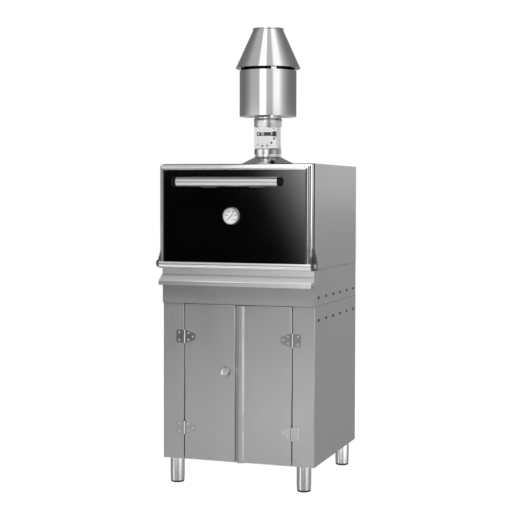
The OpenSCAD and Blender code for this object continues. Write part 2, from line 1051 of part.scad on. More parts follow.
// Rod grill on the lowest pair of guides
module cooking_grill() {
    half = mouth_half - grill_play;
    y = [ring_back_y + guide_w, box_back_y - guide_w];
    z = shell_z + guide_places[0] + seat_gap;
    pitch = 2 * half / (grill_rods + 1);
    color("silver")
    translate([0, 0, z]) {
        linear_extrude(grill_h)
        difference() {
            patch([-half, half], y);
            patch([grill_rim - half, half - grill_rim], [y[0] + grill_rim, y[1] - grill_rim]);
        }
        for (i = [1 : grill_rods])
            translate([i * pitch - half, 0, grill_h - grill_rod_r - grill_play])
                bar_y(grill_rod_r, y[0] + grill_rim / 2, y[1] - grill_rim / 2);
    }
}

module mouth_gasket() {
    half = mouth_half + gasket_in;
    z = [mouth_z - gasket_in, mouth_top_z + gasket_in];
    color("gray")
    run_y(oven_front_y - gasket_t, oven_front_y)
    difference() {
        patch([-half - gasket_w, half + gasket_w], [z[0] - gasket_w, z[1] + gasket_w]);
        patch([-half, half], z);
    }
}

module at_pivot() {
    translate([0, pivot_y, pivot_z]) children();
}

// Tapered brackets beside the door with the barrels that its pins turn in
module hinge_brackets() {
    near = half_w + bracket_gap;
    far = near + bracket_w;
    foot_x = half_w - bracket_foot_w;
    low = shell_z;
    high = low + bracket_rise + pivot_rise;
    shoulder = pivot_z + bracket_r;
    color("dimgray")
    both_sides()
    difference() {
        union() {
            run_y(oven_front_y - bracket_foot_t, oven_front_y)
            polygon([[foot_x, low], [far, low], [far, shoulder], [near, high], [foot_x, high]]);
            run_y(oven_front_y - bracket_lead, oven_front_y)
            polygon([[near, low], [far, low], [far, shoulder], [near, high]]);
            slab([near, near + bracket_barrel_w], [pivot_y, oven_front_y],
                 [pivot_z - bracket_r, pivot_z + bracket_r]);
            at_pivot() bar_x(bracket_r, near, near + bracket_barrel_w);
        }
        at_pivot() bar_x(hinge_pin_r + run_play, near - cut, near + bracket_barrel_w + cut);
    }
}

// Pins of the door, each welded into a tapered strap on the side of the door
module door_hinge_pins() {
    head = half_w + bracket_gap + bracket_barrel_w + seat_gap;
    strap_x = door_half + seat_gap;
    rear = door_rear_y - pivot_y;
    front = -nose_r + door_strap_t;
    color("white")
    both_sides()
    at_pivot() {
        bar_x(hinge_pin_r, door_half - hinge_pin_in, head);
        bar_x(hinge_pin_head_r, head, head + hinge_pin_head_t);
        run_x(strap_x, strap_x + door_strap_t)
        polygon([
            [rear, -door_strap_low],
            [front, -door_strap_low],
            [front, door_strap_mid],
            [rear - door_strap_t, door_strap_high],
            [rear, door_strap_high]
        ]);
    }
}

// Half of the door outline across the frame: flat by the panel, a rounded shoulder, a groove and a plain edge.
// The first number is the distance in from the outside edge, the second the depth behind the panel face.
function shoulder(w, d) = concat([
    for (i = [0 : frame_steps])
        let (a = 90 * i / frame_steps)
        [(w - frame_flat) * (1 - sin(a)), (d - frame_side_d) * (1 - cos(a))]
], [
    [groove_d, d - frame_side_d],
    [groove_d, d - frame_side_d + groove_w],
    [0, d - frame_side_d + groove_w]
]);

// The door outline seen along one axis, from the low edge to the high edge
module door_outline(low, high, w_low, w_high, rear) {
    d = rear - door_face_y;
    rise = shoulder(w_low, d);
    fall = shoulder(w_high, d);
    polygon(concat(
        [[low, rear]],
        [for (i = [len(rise) - 1 : -1 : 0]) [low + rise[i][0], door_face_y + rise[i][1]]],
        [for (step = fall) [high - step[0], door_face_y + step[1]]],
        [[high, rear]]
    ));
}

// Mitred polished frame round the top and sides of the door
module door_frame() {
    low = panel_z - frame_top_w;
    color("white")
    difference() {
        intersection() {
            translate([0, 0, panel_z + seat_gap])
            linear_extrude(door_top_z - panel_z)
            door_outline(-door_half, door_half, frame_side_w, frame_side_w, door_rear_y);
            run_x(-half_w, half_w)
            mirror([1, -1, 0])
            door_outline(low - door_d, door_top_z, frame_top_w, frame_top_w, door_rear_y);
        }
        slab([-panel_half, panel_half], [door_face_y - cut, door_face_y + panel_t], [low, panel_top_z]);
        slab([-core_half, core_half], [door_face_y - cut, door_rear_y + cut], [low, core_top_z]);
    }
}

module stem_hole() {
    translate([gauge_x, 0, gauge_z])
        bar_y(stem_r + hole_play, door_face_y - cut, door_rear_y + cut);
}

module door_panel() {
    color("black")
    difference() {
        slab([panel_gap - panel_half, panel_half - panel_gap], [door_face_y, door_face_y + panel_t],
             [panel_z, panel_top_z - panel_gap]);
        stem_hole();
    }
}

// Rolled rail along the foot of the door, round about the pivot
module door_bottom_rail() {
    front = door_face_y + panel_t + seat_gap;
    color("white")
    difference() {
        union() {
            difference() {
                at_pivot() bar_x(nose_r, -door_half, door_half);
                slab([-half_w, half_w], [pivot_y - door_d, pivot_y + door_d], [panel_z, pivot_z + door_d]);
            }
            slab([-door_half, door_half], [front, door_rear_y], [pivot_z, panel_z]);
            slab([seat_gap - core_half, core_half - seat_gap], [front, door_rear_y], [panel_z, rail_step_z]);
        }
        at_pivot() bar_x(rail_bore_r, hinge_pin_in - door_half, door_half - hinge_pin_in);
        at_pivot() bar_x(hinge_pin_r, -half_w, half_w);
    }
}

module door_liner() {
    color("gray")
    difference() {
        slab([seat_gap - core_half, core_half - seat_gap], [door_rear_y - sheet_t, door_rear_y],
             [rail_step_z, core_top_z - seat_gap]);
        stem_hole();
    }
}

module door_wool() {
    color("khaki")
    difference() {
        slab([2 * seat_gap - core_half, core_half - 2 * seat_gap],
             [door_face_y + panel_t + seat_gap, door_rear_y - sheet_t - seat_gap],
             [rail_step_z + seat_gap, core_top_z - 2 * seat_gap]);
        stem_hole();
    }
}

module at_handle() {
    translate([0, handle_y, handle_z]) children();
}

// Handle tube and the two caps plugged into its ends
module door_handle() {
    end = handle_len / 2 - handle_cap_t;
    plug_r = handle_r - handle_wall - hole_play;
    color("white")
    at_handle()
    difference() {
        bar_x(handle_r, -end, end);
        bar_x(handle_r - handle_wall, -end - cut, end + cut);
    }
    color("black")
    at_handle()
    both_sides()
    translate([end, 0, 0])
    rotate([0, 90, 0])
    rotate_extrude()
    polygon([
        [0, -handle_plug_d],
        [plug_r, -handle_plug_d],
        [plug_r, seat_gap],
        [handle_r, seat_gap],
        [handle_r, handle_cap_t - handle_cap_bevel],
        [handle_r - handle_cap_bevel, handle_cap_t],
        [0, handle_cap_t]
    ]);
}

// Wide saddles that hold the handle tube off the door panel
module handle_brackets() {
    color("dimgray")
    for (x = [-1, 1] * saddle_x)
        at_handle()
        run_x(x - saddle_w / 2, x + saddle_w / 2)
        difference() {
            union() {
                patch([0, handle_stand], [-saddle_arm_h / 2, saddle_arm_h / 2]);
                patch([handle_stand - saddle_foot_t, handle_stand], [-saddle_foot_drop, saddle_foot_rise]);
            }
            circle(r = handle_r);
        }
}

module at_gauge() {
    translate([gauge_x, door_face_y, gauge_z])
        rotate([90, 0, 0]) children();
}

// Case with its rim, and the stem that reaches into the oven
module gauge_case() {
    well = gauge_r - gauge_rim;
    color("white")
    at_gauge()
    rotate_extrude()
    polygon([
        [0, -door_d - stem_in],
        [stem_r, -door_d - stem_in],
        [stem_r, 0],
        [gauge_r, 0],
        [gauge_r, gauge_proud - gauge_rim],
        [gauge_r - gauge_rim / 2, gauge_proud],
        [well - gauge_lip, gauge_proud],
        [well - gauge_lip, gauge_proud - gauge_lip],
        [well, gauge_proud - gauge_lip],
        [well, gauge_floor_t],
        [0, gauge_floor_t]
    ]);
}

module gauge_dial() {
    color("white")
    at_gauge()
    translate([0, 0, gauge_floor_t])
        cylinder(r = gauge_r - gauge_rim, h = dial_t);
}

module gauge_glass() {
    color("lightcyan")
    at_gauge()
    translate([0, 0, gauge_proud - gauge_lip - glass_t])
        cylinder(r = gauge_r - gauge_rim, h = glass_t);
}

// Thin pointer with a thick tail, at rest on the low end of the scale
module gauge_pointer() {
    color("black")
    at_gauge()
    translate([0, 0, gauge_floor_t + dial_t + seat_gap]) {
        cylinder(r = pointer_hub_r, h = pointer_lift + pointer_t);
        rotate([0, 0, pointer_angle])
        translate([0, 0, pointer_lift])
        linear_extrude(pointer_t)
        polygon([
            [-pointer_tail, -pointer_tail_w / 2],
            [pointer_tip, -pointer_tip_w / 2],
            [pointer_tip, pointer_tip_w / 2],
            [-pointer_tail, pointer_tail_w / 2]
        ]);
    }
}

module at_flue(z) {
    translate([0, flue_y, z]) children();
}

// Spigot with the spun cone that covers the hole in the roof
module flue_base() {
    inner = flue_r - flue_t;
    color("silver")
    at_flue(0)
    rotate_extrude()
    polygon([
        [inner, mouth_top_z + box_t],
        [flue_r, mouth_top_z + box_t],
        [flue_r, roof_z],
        [base_cone_r, roof_z],
        [base_cone_r, roof_z + flue_t],
        [base_waist_r, base_waist_z],
        [flue_r, base_neck_z],
        [flue_r, base_pipe_z],
        [inner, base_pipe_z]
    ]);
}

// Pipe with a socket at its foot, drilled for the damper shaft
module damper_pipe() {
    inner = flue_r - flue_t;
    color("silver")
    difference() {
        at_flue(0)
        rotate_extrude()
        polygon([
            [flue_r + hole_play, socket_z],
            [flue_r + socket_t, socket_z],
            [flue_r + socket_t, socket_z + socket_h],
            [flue_r, socket_z + socket_h + socket_t],
            [flue_r, pipe_top_z],
            [inner, pipe_top_z],
            [inner, base_pipe_z + hole_play],
            [flue_r + hole_play, base_pipe_z + hole_play]
        ]);
        translate([0, 0, damper_z])
            bar_y(damper_rod_r + run_play, flue_y - flue_r - cut, flue_y + flue_r + cut);
    }
}

// Angles of the index holes, from straight down towards the right
function index_angle(i) = index_first + i * index_step;

// Bent plate in front of the pipe, with the arc of index holes
module index_plate() {
    rear = flue_y - flue_r;
    color("white")
    difference() {
        union() {
            slab([-index_left, index_right], [rear - index_t, rear], [damper_z - index_low, damper_z + index_top]);
            slab([index_right - index_t / 2, index_right], [rear - index_t, rear + index_side],
                 [damper_z - index_low, damper_z + index_top]);
        }
        translate([0, 0, damper_z]) bar_y(damper_rod_r + run_play, rear - index_t - cut, rear + cut);
        for (i = [0 : index_n - 1])
            translate([index_arc_r * sin(index_angle(i)), 0, damper_z - index_arc_r * cos(index_angle(i))])
                bar_y(index_hole_r, rear - index_t - cut, rear + cut);
    }
}

// Front of the index plate, and the plane that the lever turns in
index_front_y = flue_y - flue_r - index_t;
lever_y = index_front_y - lever_gap;

// Lever with the head of its index pin
module damper_lever() {
    color("gray")
    translate([0, 0, damper_z]) {
        difference() {
            run_y(lever_y - lever_t, lever_y)
            patch([-lever_left, grip_x], [-lever_h / 2, lever_h / 2]);
            bar_y(damper_rod_r, lever_y - lever_t - cut, lever_y + cut);
        }
        translate([lever_right - rivet_r, 0, 0])
            bar_y(rivet_r, lever_y - lever_t - rivet_t, lever_y - lever_t);
        translate([rivet_r * 2 - lever_left, 0, 0])
            bar_y(rivet_r, lever_y - lever_t - rivet_t / 2, lever_y - lever_t);
    }
}

module damper_grip() {
    color("black")
    slab([grip_x, grip_x + grip_w], [lever_y - grip_d, lever_y],
         [damper_z - grip_h / 2, damper_z + grip_h / 2]);
}

// Disc in the pipe, edge on to the smoke at rest, with its shaft and front nut
module damper_blade() {
    far = flue_y + flue_r + damper_end;
    near = lever_y - lever_t;
    disc_r = flue_r - flue_t - damper_play;
    color("dimgray")
    translate([0, 0, damper_z]) {
        bar_y(damper_rod_r, near, far);
        bar_y(nut_r, near - nut_t, near);
        translate([0, flue_y, 0])
            rotate([0, 90, 0]) translate([0, 0, -damper_t / 2]) cylinder(r = disc_r, h = damper_t);
        bar_y(damper_sleeve_r, flue_y - disc_r + damper_sleeve_r, flue_y + disc_r - damper_sleeve_r);
    }
}

// Spark arrestor drum with its inlet collar and inner pipe
module arrestor_body() {
    inner = flue_r + hole_play;
    bead_z = collar_z + collar_h - collar_bead_drop;
    floor_top = arrestor_z + flue_t;
    color("silver")
    at_flue(0)
    rotate_extrude()
    polygon([
        [inner, collar_z],
        [inner + collar_t, collar_z],
        [inner + collar_t, bead_z - collar_bead_h],
        [inner + collar_t + collar_bead, bead_z - collar_bead_h / 2],
        [inner + collar_t, bead_z],
        [inner + flue_t, bead_z + collar_bead],
        [inner + flue_t, arrestor_z],
        [arrestor_r, arrestor_z],
        [arrestor_r, arrestor_z + arrestor_h],
        [arrestor_r - flue_t, arrestor_z + arrestor_h],
        [arrestor_r - flue_t, floor_top],
        [inner + flue_t, floor_top],
        [inner + flue_t, arrestor_z + arrestor_pipe_h],
        [inner, arrestor_z + arrestor_pipe_h]
    ]);
}

// Disc that turns sparks back, held by three tabs on the drum wall
module arrestor_baffle() {
    color("dimgray")
    at_flue(arrestor_z + baffle_rise)
    linear_extrude(baffle_t) {
        circle(r = baffle_r);
        for (i = [0 : strap_n - 1])
            rotate(i * 360 / strap_n)
                intersection() {
                    circle(r = arrestor_r - flue_t);
                    patch([0, arrestor_r], [-baffle_tab_w / 2, baffle_tab_w / 2]);
                }
    }
}

// Open cone over the drum, on straps that run down inside the drum wall
module flue_hat() {
    strap_r = sqrt(pow(arrestor_r - flue_t, 2) - pow(strap_w / 2, 2)) - seat_gap;
    lean = (hat_r - hat_top_r) / hat_h;
    strap_top = hat_z + (hat_r - flue_t - strap_r) / lean;
    strap_foot = arrestor_z + arrestor_h - strap_low;
    color("silver")
    at_flue(0) {
        rotate_extrude()
        polygon([
            [hat_r - flue_t, hat_z],
            [hat_r, hat_z],
            [hat_top_r, hat_z + hat_h - hat_rim_h],
            [hat_top_r + hat_rim, hat_z + hat_h - hat_rim_h],
            [hat_top_r + hat_rim, hat_z + hat_h],
            [hat_top_r - flue_t, hat_z + hat_h],
            [hat_top_r - flue_t, hat_z + hat_h - hat_rim_h]
        ]);
        for (i = [0 : strap_n - 1])
            rotate(60 + i * 360 / strap_n)
                translate([strap_r - strap_t, -strap_w / 2, strap_foot])
                    cube([strap_t, strap_w, strap_top - strap_foot]);
    }
}

cabinet_sides();
cabinet_back();
cabinet_floor();
front_posts();
top_rails();
leg_tubes();
leg_feet();
leg_glides();
door_catches();
post_leaves();
leaf_pins();
post_leaf_screws();
base_plate();
lower_panels();
apron();
drawer_runners();
shell_sides();
shell_back();
shell_roof();
front_frame();
firebox();
insulation();
fire_grate();
cooking_grill();
rack_guides();
mouth_gasket();
hinge_brackets();
flue_base();
damper_pipe();
index_plate();
arrestor_body();
arrestor_baffle();
flue_hat();
left_door_pan();
left_door_liner();
left_door_leaves();
lock_body();
lock_knob();
lock_cam();
right_door_pan();
right_door_liner();
right_door_leaves();
pull_strip();
ash_drawer_box();
ash_drawer_front();
door_frame();
door_panel();
door_bottom_rail();
door_liner();
door_wool();
door_handle();
handle_brackets();
door_hinge_pins();
gauge_case();
gauge_dial();
gauge_glass();
gauge_pointer();
damper_lever();
damper_grip();
damper_blade();
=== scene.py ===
"""The looks of the charcoal oven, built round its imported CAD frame."""

import math

import bmesh
import bpy
from mathutils import Matrix, Vector


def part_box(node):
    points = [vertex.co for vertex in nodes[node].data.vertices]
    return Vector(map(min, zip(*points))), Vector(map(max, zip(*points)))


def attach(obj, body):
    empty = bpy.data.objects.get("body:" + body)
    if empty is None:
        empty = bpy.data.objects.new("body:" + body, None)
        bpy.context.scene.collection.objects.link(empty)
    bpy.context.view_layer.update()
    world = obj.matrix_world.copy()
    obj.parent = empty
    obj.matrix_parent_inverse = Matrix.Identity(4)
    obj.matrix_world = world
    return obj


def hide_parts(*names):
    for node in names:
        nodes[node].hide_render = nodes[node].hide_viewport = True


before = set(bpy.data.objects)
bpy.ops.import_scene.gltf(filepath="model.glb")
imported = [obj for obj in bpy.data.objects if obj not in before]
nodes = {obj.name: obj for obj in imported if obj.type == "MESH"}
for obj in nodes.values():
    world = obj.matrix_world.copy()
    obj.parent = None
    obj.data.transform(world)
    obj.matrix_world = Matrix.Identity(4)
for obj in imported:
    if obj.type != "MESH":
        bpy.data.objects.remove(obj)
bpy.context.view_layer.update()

# Camera
# It stands 5.8 m away, to the right of the oven and at chest height, and looks slightly down.
# The long lens keeps the oven's upright lines nearly parallel.
camera_place = Vector((1.8635, -5.4930, 1.2890))
camera_turn = math.radians(18.637)
camera_dip = math.radians(-2.005)
camera_roll = math.radians(0.144)
lens_mm = 88.22
film_mm = 36
lens_shift = -0.0423
ahead = Vector((
    -math.sin(camera_turn) * math.cos(camera_dip),
    math.cos(camera_turn) * math.cos(camera_dip),
    math.sin(camera_dip),
))
level_right = Vector((math.cos(camera_turn), math.sin(camera_turn), 0))
level_up = level_right.cross(ahead)
right = level_right * math.cos(camera_roll) + level_up * math.sin(camera_roll)
camera = bpy.data.objects.new("camera", bpy.data.cameras.new("camera"))
camera.data.lens = lens_mm
camera.data.sensor_width = film_mm
camera.data.shift_y = lens_shift
camera.matrix_world = Matrix.Translation(camera_place) @ Matrix(
    (right, right.cross(ahead), -ahead)
).transposed().to_4x4()
bpy.context.collection.objects.link(camera)
bpy.context.scene.camera = camera
bpy.context.scene.view_settings.view_transform = "Standard"


# Studio
# White paper under and behind the oven, three softboxes above, beside and low in front of it, and rows of
# soft light all round. The rows stand one above the other. Only shiny pieces mirror them.
class Wire:
    """A value inside a node tree. Arithmetic on it adds Math nodes."""

    def __init__(self, finish, socket):
        self.finish = finish
        self.socket = socket

    def maths(self, operation, *values):
        made = self.finish.node("ShaderNodeMath", {"operation": operation}, dict(enumerate(values)))
        return made["Value"]

    def __add__(self, other):
        return self.maths("ADD", self, other)

    def __sub__(self, other):
        return self.maths("SUBTRACT", self, other)

    def __rsub__(self, other):
        return self.maths("SUBTRACT", other, self)

    def __mul__(self, other):
        return self.maths("MULTIPLY", self, other)

    def __truediv__(self, other):
        return self.maths("DIVIDE", self, other)

    __radd__ = __add__
    __rmul__ = __mul__

    def clipped(self):
        return self.maths("MINIMUM", self.maths("MAXIMUM", self, 0.0), 1.0)

    def between(self, low, high):
        """0 below low, 1 above high and a straight rise between them."""
        return ((self - low) / (high - low)).clipped()

    def mixed(self, first, second):
        """first where this value is 0 and second where it is 1."""
        return (1.0 - self) * first + self * second

    def curve(self, points):
        """The level at this value on straight lines through points of (value, level)."""
        low, high = points[0][0], points[-1][0]
        peak = max(level for _, level in points)
        stops = [((place - low) / (high - low), level / peak) for place, level in points]
        ramp = self.finish.node("ShaderNodeValToRGB", {"stops": stops}, {0: (self - low) / (high - low)})
        return ramp["Color"] * peak


class Finish:
    """The node tree of a material or of the world, with one method that adds any node."""

    def __init__(self, owner):
        owner.use_nodes = True
        self.owner = owner
        self.tree = owner.node_tree
        self.tree.nodes.clear()

    def node(self, kind, settings=None, sockets=None):
        made = self.tree.nodes.new(kind)
        for name, value in (settings or {}).items():
            if name == "stops":
                self.set_stops(made.color_ramp, value)
            else:
                setattr(made, name, value)
        for name, value in (sockets or {}).items():
            if isinstance(value, Wire):
                self.tree.links.new(value.socket, made.inputs[name])
            else:
                made.inputs[name].default_value = value
        return {out.name: Wire(self, out) for out in made.outputs if out.enabled}

    def set_stops(self, ramp, stops):
        for spare in list(ramp.elements)[1:]:
            ramp.elements.remove(spare)
        for number, (place, light) in enumerate(stops):
            stop = ramp.elements[0] if number == 0 else ramp.elements.new(place)
            stop.position = place
            stop.color = grey(light)


def grey(light):
    """A fixed colour without hue."""
    return (light, light, light, 1)


# The rows of light, from the floor upwards, as points of (degrees to the right of straight in front, level)
leg_row = [
    (-180, 0.40), (-75, 0.36), (-52, 0.7), (-46, 1.9), (-38, 1.9), (-32, 0.6), (-24, 0.42),
    (35, 0.42), (52, 0.7), (58, 1.15), (67, 1.15), (76, 0.6), (100, 0.45), (180, 0.40),
]
lower_row = [
    (-180, 0.38), (-80, 0.35), (-60, 0.4), (-26, 0.4), (-18, 1.4), (-14, 2.2), (4, 2.2),
    (12, 1.3), (34, 1.0), (42, 2.6), (101, 2.6), (107, 0.45), (180, 0.38),
]
middle_row = [
    (-180, 0.40), (-80, 0.30), (-60, 0.3), (-34, 0.2), (-22, 0.08), (-18.6, 0.4), (-15, 0.08),
    (4, 0.1), (34, 0.4), (42, 2.6), (101, 2.6), (107, 0.45), (180, 0.40),
]
upper_row = [
    (-180, 0.42), (-80, 0.30), (-60, 0.2), (-30, 0.0), (-14, 0.0), (0, 0.1), (38, 0.25),
    (45, 1.8), (60, 1.8), (68, 0.3), (105, 0.45), (180, 0.42),
]
eye_row = [
    (-180, 0.8), (-80, 0.5), (-66, 1.7), (-34, 1.7), (-29, 0.0), (-15, 0.0), (-14, 2.2),
    (8, 2.2), (12, 0.5), (50, 0.5), (75, 1.0), (115, 0.95), (150, 0.9), (180, 0.8),
]
collar_row = [
    (-180, 0.5), (-150, 0.4), (-115, 0.1), (-100, 0.05), (-85, 0.5), (-70, 0.9), (-60, 1.5),
    (-34, 1.5), (-28, 0.1), (-10, 0.1), (-4, 2.2), (20, 2.2), (28, 0.12), (50, 0.1),
    (62, 0.5), (90, 0.6), (98, 0.05), (120, 0.05), (130, 0.4), (150, 0.7), (180, 0.5),
]
pipe_row = [
    (-180, 0.9), (-110, 0.35), (-90, 0.5), (-72, 1.2), (-56, 1.7), (-16, 1.8), (-8, 1.0),
    (4, 0.4), (24, 0.2), (44, 0.2), (58, 0.3), (70, 0.9), (88, 0.95), (120, 1.0), (180, 0.9),
]
drum_row = [
    (-180, 0.22), (-91, 0.25), (-79, 0.33), (-67, 0.42), (-55, 0.64), (-43, 0.70),
    (-17.5, 0.74), (-13, 2.2), (8, 2.2), (13.5, 0.82), (34, 0.85), (43, 1.75), (62, 1.75),
    (76, 0.9), (90, 0.55), (103, 0.37), (115, 0.28), (180, 0.22),
]
# Each row with the climbs, in degrees above level, between which it takes over from the row under it
row_starts = [
    (lower_row, -11.6, -11.3),
    (middle_row, -8.6, -7.4),
    (upper_row, -5.4, -3.6),
    (eye_row, -0.8, 0.2),
    (collar_row, 1.5, 1.6),
    (pipe_row, 2.1, 2.2),
]
drum_start = (3.2, 3.3)
ceiling_start = (60, 70)
ceiling_level = 0.12
# The drum's row draws together with height, towards the camera's side
lean_centre = 18.6
lean = [(0, 1), (10, 1), (50, 0.79), (90, 0.79)]
# The soft glow that the enamelled panel mirrors: its window, and its rise from a slanting edge
glow_sides = [(-180, 0), (-26, 0), (-25, 1), (-15, 1), (-14, 0), (180, 0)]
glow_heights = [(-90, 0), (-5, 0), (-4, 1), (1.4, 1), (1.6, 0), (90, 0)]
glow_rise = [(0, 0), (0.4, 0.03), (1.15, 0.19), (1.5, 0.33), (2.2, 0.73), (2.7, 1.05), (4.0, 2.0)]
glow_start = -19.4
glow_level = 0.9
glow_slant = 0.5
# The light that the underside of the rolled rail mirrors from the floor
rail_sides = [(-180, 0), (-28, 0), (-24, 1), (-6, 1), (0, 0), (180, 0)]
rail_heights = [(-90, 0), (-48, 0), (-42, 1), (-26, 1), (-22, 0), (90, 0)]
background_level = 1.0
room_level = 0.32
degrees = 180 / math.pi

world = bpy.data.worlds.new("studio")
bpy.context.scene.world = world
# Sampled as a lamp, the world would light plain surfaces with the mirrored rows too, so it isn't sampled.
world.cycles.sampling_method = "NONE"
sky = Finish(world)
ray = sky.node("ShaderNodeLightPath")
heading = sky.node("ShaderNodeSeparateXYZ", None, {"Vector": sky.node("ShaderNodeTexCoord")["Generated"]})
turn = heading["X"].maths("ARCTAN2", heading["X"], heading["Y"] * -1) * degrees
climb = heading["Z"].maths("ARCSINE", heading["Z"]) * degrees
mirrored = turn.curve(leg_row)
for row, start, end in row_starts:
    mirrored = climb.between(start, end).mixed(mirrored, turn.curve(row))
leaning = (turn - lean_centre) * climb.curve(lean) + lean_centre
mirrored = climb.between(*drum_start).mixed(mirrored, leaning.curve(drum_row))
mirrored = climb.between(*ceiling_start).mixed(mirrored, ceiling_level)
glow_window = turn.curve(glow_sides) * climb.curve(glow_heights)
glow = (turn - glow_start + (climb - glow_level) * glow_slant).curve(glow_rise)
mirrored = mirrored + glow_window * glow
mirrored = mirrored + turn.curve(rail_sides) * climb.curve(rail_heights)
shiny_ray = (ray["Is Glossy Ray"] + ray["Is Transmission Ray"]).clipped()
plain_ray = 1.0 - (shiny_ray + ray["Is Camera Ray"]).clipped()
level = ray["Is Camera Ray"] * background_level + shiny_ray * mirrored + plain_ray * room_level
backdrop = sky.node("ShaderNodeBackground", None, {"Color": grey(1.0), "Strength": level})
sky.node("ShaderNodeOutputWorld", None, {"Surface": backdrop["Background"]})

floor_half_width = 12.0
floor_paint = 0.9
floor_glow_share = 0.8
floor_glow = 1.22
sweep = Finish(bpy.data.materials.new("floor_paper"))
lit_paper = sweep.node("ShaderNodeBsdfDiffuse", None, {"Color": grey(floor_paint)})
white_paper = sweep.node("ShaderNodeEmission", None, {"Color": grey(1.0), "Strength": floor_glow})
paper = sweep.node("ShaderNodeMixShader", None, {
    0: sweep.node("ShaderNodeLightPath")["Is Camera Ray"] * floor_glow_share,
    1: lit_paper["BSDF"],
    2: white_paper["Emission"],
})
sweep.node("ShaderNodeOutputMaterial", None, {"Surface": paper["Shader"]})
bpy.ops.mesh.primitive_plane_add(size=2 * floor_half_width)
floor = bpy.context.object
floor.name = "floor"
# Shiny pieces mirror the rows of light in the floor's place.
floor.visible_glossy = False
floor.data.materials.append(sweep.owner)

softbox_aim = Vector((0, 0, 1.0))


def softbox(name, azimuth, height, distance, width, tall, radiance):
    """A softbox at that azimuth from straight in front, aimed at the oven. radiance is its brightness."""
    lamp = bpy.data.lights.new(name, "AREA")
    lamp.shape = "RECTANGLE"
    lamp.size = width
    lamp.size_y = tall
    lamp.energy = radiance * math.pi * width * tall
    place = Vector((
        distance * math.sin(math.radians(azimuth)),
        -distance * math.cos(math.radians(azimuth)),
        height,
    ))
    box = bpy.data.objects.new(name, lamp)
    box.location = place
    box.rotation_euler = (place - softbox_aim).to_track_quat("Z", "Y").to_euler()
    box.visible_camera = False
    box.visible_glossy = False
    bpy.context.collection.objects.link(box)


softbox("front_softbox", azimuth=-5, height=5.6, distance=4.0, width=2.4, tall=2.4, radiance=13.0)
softbox("right_softbox", azimuth=55, height=2.4, distance=4.5, width=2.6, tall=2.2, radiance=2.0)
softbox("low_softbox", azimuth=22, height=0.25, distance=2.4, width=1.0, tall=0.4, radiance=3.0)


# Casing sheets
# Stainless sheet, brushed in long straight lines at the mill, so that its grain runs one way, then folded
# to shape and spot-welded into the casing. Folding leaves a small radius along each outer edge.
grain_pitch = 0.0009
grain_run = 0.22
grain_depth = 0.00002
grain_streak = 0.045
band_breadth = 22
wipe_scale = 5.0
scratch_haze = 0.35
wipe_haze = 0.25
sheet_grey = 0.47
sheet_roughness = 0.21
sheet_metal_share = 0.8
fold_radius = 0.0028
fold_steps = 4
fold_turn = math.radians(40)
least_fold = 0.09
post_radius = 0.0018
weld = 0.000001


class PieceFinish(Finish):
    """The material of a piece, with patterns that stay fixed to the piece."""

    def __init__(self, name):
        super().__init__(bpy.data.materials.new(name))
        self.place = self.node("ShaderNodeTexCoord")["Object"]

    def noise(self, detail, scale=1.0, stretch=None):
        """Cloudy noise with a mean of 0.5. A stretch gives each axis a scale of its own."""
        place = self.place
        if stretch is not None:
            place = self.node("ShaderNodeMapping", None, {"Vector": place, "Scale": stretch})["Vector"]
        sockets = {"Vector": place, "Scale": scale, "Detail": detail}
        return self.node("ShaderNodeTexNoise", None, sockets)["Fac"]

    def shade(self, light):
        """A colour without hue that changes over the piece."""
        return self.node("ShaderNodeCombineColor", None, {0: light, 1: light, 2: light})["Color"]

    def relief(self, height, strength, depth):
        """The normal of a surface with a fine relief."""
        sockets = {"Strength": strength, "Distance": depth, "Height": height}
        return self.node("ShaderNodeBump", None, sockets)["Normal"]

    def material(self, sockets):
        """The material itself, once its surface has those values and links."""
        surface = self.node("ShaderNodeBsdfPrincipled", None, sockets)
        self.node("ShaderNodeOutputMaterial", None, {"Surface": surface["BSDF"]})
        return self.owner


def brushed_steel(name, tone, roughness, along, metal_share=1.0):
    """Steel brushed along one axis, with streaks in its tone and roughness and fine scratches in relief."""
    steel = PieceFinish(name)
    lines = [1 / grain_pitch] * 3
    lines["XYZ".index(along)] = 1 / grain_run
    scratches = steel.noise(detail=3.0, stretch=lines)
    bands = steel.noise(detail=2.0, stretch=[line / band_breadth for line in lines])
    wipes = steel.noise(detail=2.0, scale=wipe_scale)
    light = tone * (1 + grain_streak * ((bands - 0.5) * 2 + (scratches - 0.5)))
    haze = 1 + (scratches - 0.5) * scratch_haze + (wipes - 0.5) * wipe_haze
    return steel.material({
        "Base Color": steel.shade(light),
        "Metallic": metal_share,
        "Roughness": roughness * haze,
        "Normal": steel.relief(scratches, strength=0.5, depth=grain_depth),
    })


def dress(material, *names):
    """Gives CAD nodes their finish."""
    for name in names:
        mesh = nodes[name].data
        mesh.materials.clear()
        mesh.materials.append(material)


